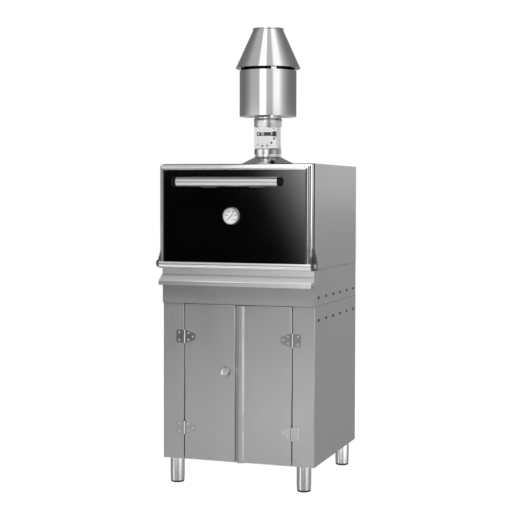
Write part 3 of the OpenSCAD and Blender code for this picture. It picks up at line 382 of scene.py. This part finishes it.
def folded(name, body, finish, radius=fold_radius, width=2 * fold_radius, front_only=False):
    """A copy of a CAD sheet with the radius that folding leaves along its long outer edges.

    The copy stands for the node. An edge beside a face narrower than width stays sharp, and front_only
    rounds nothing but the sheet's front.
    """
    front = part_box(name)[0].y + weld
    sheet = bmesh.new()
    sheet.from_mesh(nodes[name].data)
    bmesh.ops.remove_doubles(sheet, verts=sheet.verts, dist=weld)
    outer = [
        edge for edge in sheet.edges
        if len(edge.link_faces) == 2 and edge.is_convex and edge.calc_face_angle() > fold_turn
        and edge.calc_length() > least_fold
        and 2 * min(face.calc_area() for face in edge.link_faces) / edge.calc_length() > width
        and (not front_only or max(vert.co.y for vert in edge.verts) < front)
    ]
    made = bmesh.ops.bevel(
        sheet, geom=outer, offset=radius, segments=fold_steps, profile=0.5, affect="EDGES",
    )
    for face in sheet.faces:
        face.smooth = False
    for face in made["faces"]:
        face.smooth = True
    mesh = bpy.data.meshes.new(name + "_folded")
    sheet.to_mesh(mesh)
    sheet.free()
    mesh.materials.append(finish)
    piece = bpy.data.objects.new(name + "_folded", mesh)
    bpy.context.collection.objects.link(piece)
    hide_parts(name)
    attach(piece, body)


upright_sheet = brushed_steel("sheet_brushed_upright", sheet_grey, sheet_roughness, "Z", sheet_metal_share)
level_sheet = brushed_steel("sheet_brushed_level", sheet_grey, sheet_roughness, "X", sheet_metal_share)
side_sheet = brushed_steel("sheet_brushed_deep", sheet_grey, sheet_roughness, "Y", sheet_metal_share)
dress(upright_sheet, "cabinet_back", "shell_back")
folded("front_posts", "casing", upright_sheet, radius=post_radius, width=post_radius, front_only=True)
folded("apron", "casing", level_sheet)
for sheet_name in ("cabinet_sides", "lower_panels", "shell_sides", "shell_roof"):
    folded(sheet_name, "casing", side_sheet)


# Hidden sheets
# Plain steel sheet inside the cabinet and under the oven, folded, spot-welded and left as the mill sent it.
# These are the floor, rails, drawer runners and grill guides. The base sheet is painted near black as
# painted shade, for the shadow in the seam above it.
inner_sheet = brushed_steel("sheet_mill_finish", tone=0.40, roughness=0.48, along="Y")
dress(inner_sheet, "cabinet_floor", "top_rails", "drawer_runners", "rack_guides")
# Painted shade: the base sheet's near black stands in for the shadow in the seam.
dress(brushed_steel("sheet_seam_painted_shade", tone=0.07, roughness=0.6, along="Y"), "base_plate")


# Polished steel
# Pieces that were rolled, turned or pressed and then buffed: the rail and the pins at the foot of the oven
# door, the gauge's case, the lock, the screws in the posts and the collar of the flue.
# The pins of the cabinet's hinges stay as they were drawn, and darker.
smear_tone = 0.04
smear_haze = 0.3


def polished_steel(name, tone, roughness, smear_scale=14.0):
    """Polished steel with a faint haze of wiping marks."""
    steel = PieceFinish(name)
    smear = steel.noise(detail=3.0, scale=smear_scale)
    return steel.material({
        "Base Color": steel.shade(tone * (1 + smear_tone * (smear - 0.5))),
        "Metallic": 1.0,
        "Roughness": roughness * (1 + smear_haze * (smear - 0.5)),
    })


polished = polished_steel("steel_polished", tone=0.66, roughness=0.14)
dress(polished, "door_bottom_rail", "door_hinge_pins", "gauge_case", "lock_body", "lock_knob",
      "post_leaf_screws", "flue_base")
dress(polished_steel("steel_drawn", tone=0.12, roughness=0.3), "leaf_pins")


# Door frame
# Polished steel section with three beads and narrow grooves between them, mitred and welded at the upper
# corners. It holds the panel in a rebate. The grooves and the rebate's floor of the two stiles are painted
# near black as painted shade, and the upper member is painted paler as a painted highlight.
stile_width = 0.024
upper_width = 0.020
ledge_width = 0.008
frame_depth = 0.042
round_width = 0.020
round_depth = 0.026
# Each bead's distance inwards from the frame's edge, and its radius
beads = [(0.0140, 0.0024), (0.0083, 0.0028), (0.0028, 0.0034)]
bead_half = 75
bead_step = 15
bead_land = 0.001
groove_sink = 0.0026
rebate_sink = 0.0024
rebate_width = 0.0170
side_groove = 0.003
sharp_turn = math.radians(35)
# The faces of the section with painted shade: the rebate's floor, and so many to either side of a groove's
# bottom
rebate_face = 3
painted_shade_steps = 3
frame_low, frame_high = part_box("door_frame")
panel_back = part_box("door_panel")[1].y - frame_low.y


def bead_arc(middle, radius):
    """Points of (distance inwards, depth) round a bead, and the way inwards.

    The bead touches the frame's round outline from inside.
    """
    slope = math.asin(1 - middle / round_width)
    touch = Vector((middle, round_depth * (1 - math.cos(slope))))
    outwards = Vector((-round_depth * math.sin(slope), -round_width * math.cos(slope))).normalized()
    centre = touch - outwards * radius
    arc = []
    for degree in range(bead_half, -bead_half - 1, -bead_step):
        turned_by = math.radians(degree)
        arc.append(centre + radius * Vector((
            outwards.x * math.cos(turned_by) - outwards.y * math.sin(turned_by),
            outwards.x * math.sin(turned_by) + outwards.y * math.cos(turned_by),
        )))
    return arc, -outwards


section = [Vector(point) for point in (
    (stile_width + ledge_width, frame_depth),
    (stile_width + ledge_width, panel_back),
    (stile_width, panel_back),
    (stile_width, rebate_sink),
    (rebate_width, rebate_sink),
)]
painted_shade_faces = {rebate_face}
last_end = None
for middle, radius in beads:
    arc, inwards = bead_arc(middle, radius)
    if last_end is not None:
        section.append((last_end + arc[0]) / 2 + inwards * groove_sink)
        painted_shade_faces.update(range(len(section) - 2 - painted_shade_steps, len(section) + painted_shade_steps))
    section += arc
    last_end = arc[-1]
section += [Vector(point) for point in (
    (0, last_end.y + bead_land),
    (0, round_depth),
    (side_groove, round_depth),
    (side_groove, round_depth + side_groove),
    (0, round_depth + side_groove),
    (0, frame_depth),
)]
rings = []
for side, end_z in ((-1, frame_low.z), (-1, None), (1, None), (1, frame_low.z)):
    rings.append([
        (side * (frame_high.x - point.x), frame_low.y + point.y,
         frame_high.z - point.x * upper_width / stile_width if end_z is None else end_z)
        for point in section
    ])
frame_shape = bmesh.new()
rows = [[frame_shape.verts.new(point) for point in ring] for ring in rings]
count = len(section)
for member, (first, second) in enumerate(zip(rows, rows[1:])):
    for number in range(count):
        after = (number + 1) % count
        face = frame_shape.faces.new((first[number], first[after], second[after], second[number]))
        face.smooth = True
        # Slot 1 is painted shade in the stiles' grooves and rebate, and slot 2 is a painted highlight over
        # the upper member.
        face.material_index = 2 if member == 1 else int(number in painted_shade_faces)
frame_shape.faces.new(rows[0])
frame_shape.faces.new(rows[-1])
bmesh.ops.recalc_face_normals(frame_shape, faces=frame_shape.faces)
frame_mesh = bpy.data.meshes.new("door_frame_beaded")
frame_shape.to_mesh(frame_mesh)
frame_shape.free()
frame_mesh.set_sharp_from_angle(angle=sharp_turn)
frame_mesh.materials.append(polished_steel("frame_steel", tone=0.72, roughness=0.12))
# Near black for the stiles' grooves and rebate floor: painted shade
frame_mesh.materials.append(polished_steel("frame_painted_shade", tone=0.10, roughness=0.30))
# Paler steel on the upper member: a painted highlight
frame_mesh.materials.append(polished_steel("frame_upper_painted_highlight", tone=0.95, roughness=0.12))
door_surround = bpy.data.objects.new("door_frame_beaded", frame_mesh)
bpy.context.collection.objects.link(door_surround)
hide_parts("door_frame")
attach(door_surround, "oven_door")


# Legs
# Round stainless tubes with a threaded foot in each, all polished, under the cabinet's corners. Each foot
# stands on a moulded black glide. The catches behind the cabinet doors are moulded too, in a pale plastic.
dress(polished_steel("leg_steel", tone=0.62, roughness=0.09), "leg_tubes", "leg_feet")
pebble_scale = 900.0
pebble_depth = 0.00004
wear_scale = 30.0
wear_tone = 0.3
wear_haze = 0.1


def moulded_plastic(name, tone, roughness):
    """Moulded plastic with the fine pebble that its mould leaves."""
    plastic = PieceFinish(name)
    pebbles = plastic.noise(detail=2.0, scale=pebble_scale)
    wear = plastic.noise(detail=2.0, scale=wear_scale)
    return plastic.material({
        "Base Color": plastic.shade(tone * (1 + wear_tone * (wear - 0.5))),
        "Roughness": roughness + wear_haze * (wear - 0.5),
        "Normal": plastic.relief(pebbles, strength=0.5, depth=pebble_depth),
    })


dress(moulded_plastic("glide_plastic", tone=0.03, roughness=0.5), "leg_glides")
dress(moulded_plastic("catch_plastic", tone=0.6, roughness=0.45), "door_catches")


# Cabinet doors
# Two folded pans of brushed sheet, each closed behind by a flat liner. The right one carries a folded pull
# strip of thinner sheet, whose small fold stands over the seam between the doors.
strip_radius = 0.0015
folded("left_door_pan", "left_door", upright_sheet)
folded("right_door_pan", "right_door", upright_sheet)
strip_sheet = brushed_steel(
    "sheet_brushed_strip", tone=sheet_grey, roughness=0.22, along="Z", metal_share=sheet_metal_share,
)
folded("pull_strip", "right_door", strip_sheet, radius=strip_radius, width=2 * strip_radius)
dress(inner_sheet, "left_door_liner", "right_door_liner")


# Hinge leaves
# Pressed and tumbled steel leaves, darker than the polished pins of the oven door. Each is fixed to its
# post or door with cross-head screws, whose raised heads are left at whatever turn the driver stopped.
peel_scale = 400.0
peel_depth = 0.0001
peel_tone = 0.4
peel_haze = 0.1
screw_size = 0.012
recess_arm = 0.0022
recess_half = 0.0005
recess_cut = 0.00008
recess_twist = math.radians(45)
recess_seed = 7
head_skin = 0.00006
# The screw's head, as points of (radius, distance forwards)
head_profile = [
    (0.0043, -0.0018), (0.0043, -0.0012), (0.0039, -0.0006), (0.0031, -0.0001),
    (0.0028, head_skin), (0, head_skin),
]
dress(
    polished_steel("leaf_steel", tone=0.42, roughness=0.14),
    "post_leaves", "left_door_leaves", "right_door_leaves",
)
screw_steel = polished_steel("screw_steel", tone=0.85, roughness=0.3)


def matt_paint(name, tone, roughness):
    """Matt paint with a fine orange peel."""
    paint = PieceFinish(name)
    peel = paint.noise(detail=2.0, scale=peel_scale)
    return paint.material({
        "Base Color": paint.shade(tone * (1 + peel_tone * (peel - 0.5))),
        "Roughness": roughness + peel_haze * (peel - 0.5),
        "Normal": paint.relief(peel, strength=0.3, depth=peel_depth),
    })


def small_solids(name, largest):
    """The middle of the front of each separate solid of a node that is no larger than that."""
    solid = bmesh.new()
    solid.from_mesh(nodes[name].data)
    bmesh.ops.remove_doubles(solid, verts=solid.verts, dist=weld)
    waiting = set(solid.verts)
    spots = []
    while waiting:
        grown = [waiting.pop()]
        for vertex in grown:
            for edge in vertex.link_edges:
                other = edge.other_vert(vertex)
                if other in waiting:
                    waiting.remove(other)
                    grown.append(other)
        low = [min(vertex.co[axis] for vertex in grown) for axis in range(3)]
        high = [max(vertex.co[axis] for vertex in grown) for axis in range(3)]
        if max(top - bottom for bottom, top in zip(low, high)) <= largest:
            spots.append(((low[0] + high[0]) / 2, low[1], (low[2] + high[2]) / 2))
    solid.free()
    return sorted(spots)


def shape_object(name, points, faces):
    """A mesh object with its faces turned outwards."""
    solid = bmesh.new()
    corners_made = [solid.verts.new(point) for point in points]
    for face in faces:
        solid.faces.new([corners_made[number] for number in face])
    bmesh.ops.remove_doubles(solid, verts=solid.verts, dist=weld)
    bmesh.ops.recalc_face_normals(solid, faces=solid.faces)
    mesh = bpy.data.meshes.new(name)
    solid.to_mesh(mesh)
    solid.free()
    made = bpy.data.objects.new(name, mesh)
    bpy.context.collection.objects.link(made)
    return made


def plate_shape(name, outline, thickness):
    """A thin plate with that outline in x and z, its back on y 0 and its face towards the front."""
    count = len(outline)
    points = [(x, 0, z) for x, z in outline] + [(x, -thickness, z) for x, z in outline]
    faces = [list(range(count)), list(range(count, 2 * count))]
    faces += [[side, (side + 1) % count, (side + 1) % count + count, side + count] for side in range(count)]
    return shape_object(name, points, faces)


def turned(name, profile, closed=False, steps=24):
    """A shape turned about the y axis from points of (radius, distance forwards)."""
    count = len(profile)
    angles = [2 * math.pi * step / steps for step in range(steps)]
    points = [
        (radius * math.cos(angle), -forward, radius * math.sin(angle))
        for angle in angles for radius, forward in profile
    ]
    faces = [
        [step * count + row, step * count + (row + 1) % count,
         (step + 1) % steps * count + (row + 1) % count, (step + 1) % steps * count + row]
        for step in range(steps) for row in range(count if closed else count - 1)
    ]
    return shape_object(name, points, faces)


def repeated(name, shape, spots, finish, body, spins=None, twist=0.0, seed=1):
    """One mesh with a copy of the shape on each spot, made by a Geometry Nodes tree.

    spins turns each copy about its y axis, and twist is the most that chance adds to that.
    The shape itself goes away.
    """
    mesh = bpy.data.meshes.new(name + "_spots")
    mesh.from_pydata(spots, [], [])
    spin = mesh.attributes.new("spin", "FLOAT", "POINT")
    spin.data.foreach_set("value", spins or [0.0] * len(spots))
    carrier = bpy.data.objects.new(name + "_spots", mesh)
    bpy.context.collection.objects.link(carrier)
    tree = bpy.data.node_groups.new(name, "GeometryNodeTree")
    inputs = {"Spots": "Geometry", "Shape": "Object", "Twist": "Float", "Seed": "Int", "Finish": "Material"}
    for label, kind in inputs.items():
        tree.interface.new_socket(label, in_out="INPUT", socket_type="NodeSocket" + kind)
    tree.interface.new_socket("Pieces", in_out="OUTPUT", socket_type="NodeSocketGeometry")
    given = tree.nodes.new("NodeGroupInput").outputs
    taken = tree.nodes.new("NodeGroupOutput").inputs
    source = tree.nodes.new("GeometryNodeObjectInfo")
    copies = tree.nodes.new("GeometryNodeInstanceOnPoints")
    stored = tree.nodes.new("GeometryNodeInputNamedAttribute")
    stored.data_type = "FLOAT"
    stored.inputs["Name"].default_value = "spin"
    chance = tree.nodes.new("FunctionNodeRandomValue")
    chance.data_type = "FLOAT"
    chance.inputs[2].default_value = -1.0
    turned_by = tree.nodes.new("ShaderNodeMath")
    turned_by.operation = "MULTIPLY_ADD"
    turn_vector = tree.nodes.new("ShaderNodeCombineXYZ")
    real = tree.nodes.new("GeometryNodeRealizeInstances")
    coat = tree.nodes.new("GeometryNodeSetMaterial")
    join = tree.links.new
    join(given["Spots"], copies.inputs["Points"])
    join(given["Shape"], source.inputs["Object"])
    join(source.outputs["Geometry"], copies.inputs["Instance"])
    join(given["Seed"], chance.inputs["Seed"])
    join(chance.outputs[1], turned_by.inputs[0])
    join(given["Twist"], turned_by.inputs[1])
    join(stored.outputs["Attribute"], turned_by.inputs[2])
    join(turned_by.outputs["Value"], turn_vector.inputs["Y"])
    join(turn_vector.outputs["Vector"], copies.inputs["Rotation"])
    join(copies.outputs["Instances"], real.inputs["Geometry"])
    join(real.outputs["Geometry"], coat.inputs["Geometry"])
    join(given["Finish"], coat.inputs["Material"])
    join(coat.outputs["Geometry"], taken["Pieces"])
    grower = carrier.modifiers.new("copies", "NODES")
    grower.node_group = tree
    values = {"Shape": shape, "Twist": twist, "Seed": seed, "Finish": finish}
    for socket in tree.interface.items_tree:
        if socket.name in values:
            grower[socket.identifier] = values[socket.name]
    carrier.update_tag()
    evaluated = carrier.evaluated_get(bpy.context.evaluated_depsgraph_get())
    piece = bpy.data.objects.new(name, bpy.data.meshes.new_from_object(evaluated))
    bpy.context.collection.objects.link(piece)
    carrier.modifiers.remove(grower)
    bpy.data.objects.remove(carrier)
    bpy.data.objects.remove(shape)
    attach(piece, body)


recess_shade = matt_paint("recess_shade", tone=0.02, roughness=0.6)
# One arm of the recess, turned four times about the middle to give the whole cross
arm = [(recess_half, recess_half), (recess_arm, recess_half), (recess_arm, -recess_half)]
cross = []
for quarter in range(4):
    cross += arm
    arm = [(z, -x) for x, z in arm]
leaf_bodies = {
    "post_leaf_screws": "casing",
    "left_door_leaves": "left_door",
    "right_door_leaves": "right_door",
}
for holder, holder_body in leaf_bodies.items():
    screw_spots = small_solids(holder, screw_size)
    recess_spots = [(x, y - head_skin, z) for x, y, z in screw_spots]
    repeated("heads_" + holder, turned("head", head_profile), screw_spots, screw_steel, holder_body)
    repeated(
        "recesses_" + holder, plate_shape("cross", cross, recess_cut), recess_spots, recess_shade,
        holder_body, twist=recess_twist, seed=recess_seed,
    )


# Lock cam
# A flat cam on the end of the knob's shaft, behind the lock. It is stamped from steel and zinc-plated,
# which leaves it duller than the polished pieces.
zinc = polished_steel("zinc_plate", tone=0.5, roughness=0.35, smear_scale=40.0)
dress(zinc, "lock_cam")


# Ash drawer
# A plain box that slides on the runners, behind a folded front with a pull lip across its whole width.
# The lip is brushed along its length, and its colour is painted paler towards the right as painted light.
# Above its lower flange it is painted paler still, with a duller mirror, as painted light on that band.
lip_low, lip_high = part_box("ash_drawer_front")
lip_flange = 0.020
painted_band_blur = 0.002
painted_band_z = lip_low.z + lip_flange
flange_metal_share = 0.85
painted_band_metal_share = 0.42
lip_roughness = 0.22
lip_haze = 0.06
# Noise scales along x, y and z of a grain that runs from side to side
level_grain = (4.5, 1100, 1100)
grain_contrast = 0.06
lip_sheet = PieceFinish("sheet_brushed_lip")
spot = lip_sheet.node("ShaderNodeSeparateXYZ", None, {"Vector": lip_sheet.place})
# Painted light: the band above the flange is painted paler with less mirror, and the whole lip paler to the
# right.
painted_light_band = spot["Z"].between(painted_band_z - painted_band_blur, painted_band_z + painted_band_blur)
painted_light_rightwards = spot["X"].between(lip_low.x, lip_high.x)
lines = lip_sheet.noise(detail=3.0, stretch=level_grain)
# Tones at the left end and at the right end, painted lighter to the right as painted light
flange_painted_tone = painted_light_rightwards.mixed(0.52, 0.89)
painted_band_tone = painted_light_rightwards.mixed(0.66, 0.92)
lip_light = painted_light_band.mixed(flange_painted_tone, painted_band_tone) * (1 + grain_contrast * (lines - 0.5))
folded("ash_drawer_front", "ash_drawer", lip_sheet.material({
    "Base Color": lip_sheet.shade(lip_light),
    "Metallic": painted_light_band.mixed(flange_metal_share, painted_band_metal_share),
    "Roughness": lip_roughness + lip_haze * (lines - 0.5),
}))
dress(inner_sheet, "ash_drawer_box")


# Firebox, grate and grill
# A firebox of welded steel darkened by heat, a cast grate in it for the charcoal, and above it a rod grill
# that lies loose on its guides. The flue's baffle and damper blade have had the same heat.
burnt_level = 1.2
burnt_haze = 0.2
burnt_depth = 0.0003


def fired_steel(name, tone, roughness, cloud_scale):
    """Steel that fire has darkened in cloudy patches."""
    steel = PieceFinish(name)
    cloud = steel.noise(detail=6.0, scale=cloud_scale)
    return steel.material({
        "Base Color": steel.shade(tone * (0.5 + cloud)),
        "Metallic": (burnt_level - cloud).clipped(),
        "Roughness": roughness + burnt_haze * (cloud - 0.5),
        "Normal": steel.relief(cloud, strength=0.4, depth=burnt_depth),
    })


dress(fired_steel("firebox_steel", tone=0.22, roughness=0.55, cloud_scale=7.0), "firebox")
dress(
    fired_steel("grill_steel", tone=0.4, roughness=0.35, cloud_scale=25.0),
    "cooking_grill", "arrestor_baffle", "damper_blade",
)
dress(fired_steel("grate_iron", tone=0.10, roughness=0.7, cloud_scale=90.0), "fire_grate")


# Hinge brackets and handle saddles
# Pressed plate with heat-proof black paint. The brackets hold the oven door's pins beside the casing, and
# the saddles hold the handle off the panel. The plate round the oven's mouth is painted near black too, as
# painted shade for the shadow in the gap round the door.
dark_plate = matt_paint("plate_paint", tone=0.05, roughness=0.45)
# On the hinge brackets the black paint also stands in for the door's shadow on them: painted shade.
dress(dark_plate, "hinge_brackets", "handle_brackets")
# Painted shade: the mouth plate's near black stands in for the shadow in the gap round the door.
dress(matt_paint("mouth_painted_shade", tone=0.015, roughness=0.65), "front_frame")


# Wool and gasket
# Slabs of mineral wool, packed behind the firebox and into the door, and a cord woven from glass strands,
# which is pressed on round the mouth and seals the door.
fibre_roughness = 0.9
fibre_blue = 0.93
hollow_tone = 0.75
strand_tone = 0.5
strand_depth = 0.3


def woven_fibre(name, tone, pitch):
    """Glass cord woven from fine strands, or packed wool, both slightly warm in colour."""
    fibre = PieceFinish(name)
    cells = fibre.node("ShaderNodeTexVoronoi", None, {"Vector": fibre.place, "Scale": 1 / pitch})
    weave = cells["Distance"]
    light = tone * (hollow_tone + strand_tone * weave)
    warm = fibre.node("ShaderNodeCombineColor", None, {0: light, 1: light, 2: light * fibre_blue})
    return fibre.material({
        "Base Color": warm["Color"],
        "Roughness": fibre_roughness,
        "Normal": fibre.relief(weave, strength=0.8, depth=pitch * strand_depth),
    })


dress(woven_fibre("packed_wool", tone=0.55, pitch=0.004), "insulation", "door_wool")
dress(woven_fibre("gasket_cord", tone=0.30, pitch=0.002), "mouth_gasket")


# Door panel
# One steel sheet with black vitreous enamel fired on, glossy enough to mirror the studio as a soft glow.
# It sits in the frame's rebate, with the door's wool and a plain liner behind it.
enamel_grey = 0.001
enamel_roughness = 0.05
enamel_index = 2.6
ripple_scale = 8.0
ripple_haze = 0.02
ripple_depth = 0.0002
enamel = PieceFinish("black_enamel")
ripple = enamel.noise(detail=2.0, scale=ripple_scale)
dress(enamel.material({
    "Base Color": grey(enamel_grey),
    "Roughness": enamel_roughness + ripple_haze * (ripple - 0.5),
    "IOR": enamel_index,
    "Normal": enamel.relief(ripple, strength=0.05, depth=ripple_depth),
}), "door_panel")
dress(inner_sheet, "door_liner")


# Handle
# A brushed steel tube on two saddles, which stays cool enough to hold. A black plastic cap is pushed into
# each end.
cap_length = 0.020
cap_grey = 0.004
cap_roughness = 0.4
cap_shine = 0.1
tube_grey = 0.6
tube_roughness = 0.19
tube_haze = 0.05
handle_finish = PieceFinish("handle_steel")
sideways = handle_finish.node("ShaderNodeSeparateXYZ", None, {"Vector": handle_finish.place})["X"]
cap_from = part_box("door_handle")[1].x - cap_length
cap = sideways.maths("GREATER_THAN", sideways.maths("ABSOLUTE", sideways), cap_from)
lines = handle_finish.noise(detail=3.0, stretch=level_grain)
tube_light = tube_grey * (1 + grain_contrast * (lines - 0.5))
dress(handle_finish.material({
    "Base Color": handle_finish.shade(cap.mixed(tube_light, cap_grey)),
    "Metallic": 1.0 - cap,
    "Roughness": cap.mixed(tube_roughness + tube_haze * (lines - 0.5), cap_roughness),
    "Specular IOR Level": cap_shine,
}), "door_handle")
# The panel behind them mirrors the studio's glow and not these two.
nodes["door_handle"].visible_glossy = False
nodes["handle_brackets"].visible_glossy = False


# Thermometer
# A white dial with a printed scale behind a flat glass, in a case whose stem goes through the door. A coil
# in the stem turns the black pointer, a stamped blade that is wide on both sides of its hub.
dress(moulded_plastic("dial_white", tone=0.85, roughness=0.4), "gauge_dial")
pointer_black = moulded_plastic("pointer_black", tone=0.02, roughness=0.4)
dress(pointer_black, "gauge_pointer")
glass_roughness = 0.03
glass_alpha = 0.05
dress(PieceFinish("gauge_clear").material({
    "Base Color": grey(1.0),
    "Roughness": glass_roughness,
    "Alpha": glass_alpha,
}), "gauge_glass")
dial_low, dial_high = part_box("gauge_dial")
dial_x = (dial_low.x + dial_high.x) / 2
dial_z = (dial_low.z + dial_high.z) / 2
dial_front = dial_low.y

blade_half = 0.0012
hub_clear = 0.005
blade = bmesh.new()
blade.from_mesh(nodes["gauge_pointer"].data)
bmesh.ops.remove_doubles(blade, verts=blade.verts, dist=weld)
across = Vector((1, 0, -1)).normalized()
for vert in blade.verts:
    reach = vert.co - Vector((dial_x, vert.co.y, dial_z))
    if reach.length > hub_clear:
        vert.co += across * (math.copysign(blade_half, reach.dot(across)) - reach.dot(across))
wide_blade = bpy.data.meshes.new("pointer_wide")
blade.to_mesh(wide_blade)
blade.free()
wide_blade.materials.append(pointer_black)
wide_pointer = bpy.data.objects.new("pointer_wide", wide_blade)
bpy.context.collection.objects.link(wide_pointer)
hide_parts("gauge_pointer")
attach(wide_pointer, "pointer")

ink = moulded_plastic("dial_ink", tone=0.015, roughness=0.5)
ink_thickness = 0.00012
mark_radius = 0.0315
scale_half = math.radians(135)
scale_top = 500
long_marks = 11
long_mark = (0.0056, 0.0013)
fine_marks = 51
fine_mark = (0.0034, 0.0008)
number_radius = 0.0215
number_size = 0.0066
number_bold = 0.0003
number_every = 2


def on_dial(radius, angle):
    """The place at that distance from the dial's middle, at that angle to the right of straight up."""
    return (dial_x + radius * math.sin(angle), dial_front, dial_z + radius * math.cos(angle))


def scale_marks(name, count, length, width):
    """A ring of marks that point at the dial's middle."""
    angles = [-scale_half + 2 * scale_half * number / (count - 1) for number in range(count)]
    outline = [(-width / 2, 0), (width / 2, 0), (width / 2, -length), (-width / 2, -length)]
    spots = [on_dial(mark_radius, angle) for angle in angles]
    repeated(name, plate_shape("mark", outline, ink_thickness), spots, ink, "oven_door", spins=angles)


scale_marks("dial_long_marks", long_marks, *long_mark)
scale_marks("dial_fine_marks", fine_marks, *fine_mark)
numbers = bmesh.new()
upright = Matrix.Rotation(math.pi / 2, 4, "X")
for mark in range(0, long_marks, number_every):
    angle = -scale_half + 2 * scale_half * mark / (long_marks - 1)
    written = bpy.data.curves.new("number", "FONT")
    written.body = str(scale_top * mark // (long_marks - 1))
    written.size = number_size
    written.offset = number_bold
    written.align_x = "CENTER"
    written.align_y = "CENTER"
    written.extrude = ink_thickness / 2
    carrier = bpy.data.objects.new("number", written)
    bpy.context.collection.objects.link(carrier)
    figure = bpy.data.meshes.new_from_object(carrier.evaluated_get(bpy.context.evaluated_depsgraph_get()))
    figure.transform(Matrix.Translation(on_dial(number_radius, angle)) @ upright)
    numbers.from_mesh(figure)
    bpy.data.objects.remove(carrier)
figures = bpy.data.meshes.new("dial_numbers")
numbers.to_mesh(figures)
numbers.free()
figures.materials.clear()
figures.materials.append(ink)
printed = bpy.data.objects.new("dial_numbers", figures)
bpy.context.collection.objects.link(printed)
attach(printed, "oven_door")


# Flue
# Thin stainless pipe, drum and hat, rolled from sheet that was brushed upright. Straps hold the hat over
# the drum. The damper's index plate is a bent and polished plate of its own in front of the pipe.
flue_steel = brushed_steel("flue_brushed", tone=0.56, roughness=0.07, along="Z")
dress(flue_steel, "damper_pipe", "arrestor_body", "flue_hat")
dress(polished_steel("index_plate_steel", tone=0.85, roughness=0.22), "index_plate")


# Damper
# A painted lever with a moulded grip, held on the blade's shaft by the flat head in its middle. It swings in
# front of the index plate, which has an arc of pierced and rimmed holes with a rivet at each end.
dress(dark_plate, "damper_lever")
dress(moulded_plastic("grip_black", tone=0.02, roughness=0.4), "damper_grip")
lever_low, lever_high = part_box("damper_lever")
lever_sheet = 0.003
lever_front = lever_high.y - lever_sheet
damper_z = (lever_low.z + lever_high.z) / 2
plate_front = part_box("index_plate")[0].y
hole_radius = 0.0026
rim_radius = 0.0052
rim_height = 0.0007
hole_circle = 0.0555
hole_count = 5
# Degrees to the right of straight down
first_hole = -5.6
hole_step = 24.3
# Outlines as points of (radius, distance forwards)
rim_profile = [
    (hole_radius, 0), (rim_radius, 0), (rim_radius - rim_height / 2, rim_height), (hole_radius, rim_height),
]
plate_rivet = [(0.0048, 0), (0.0044, 0.0012), (0.003, 0.0022), (0, 0.0026)]
lever_rivet = [(0.0046, 0), (0.0046, 0.0031), (0.0038, 0.0038), (0, 0.0042)]
lever_rivet_places = (-0.023, 0.0, 0.042)


def on_index_plate(number):
    """The place of that hole in the arc, counted from 0."""
    angle = math.radians(first_hole + hole_step * number)
    return (hole_circle * math.sin(angle), plate_front, damper_z - hole_circle * math.cos(angle))


repeated(
    "hole_rims", turned("rim", rim_profile, closed=True),
    [on_index_plate(number) for number in range(hole_count)],
    matt_paint("rim_shade", tone=0.09, roughness=0.4), "casing",
)
repeated(
    "plate_rivets", turned("rivet", plate_rivet),
    [on_index_plate(-1), on_index_plate(hole_count)],
    zinc, "casing",
)
repeated(
    "lever_rivets", turned("button", lever_rivet),
    [(x, lever_front, damper_z) for x in lever_rivet_places],
    polished, "damper",
)
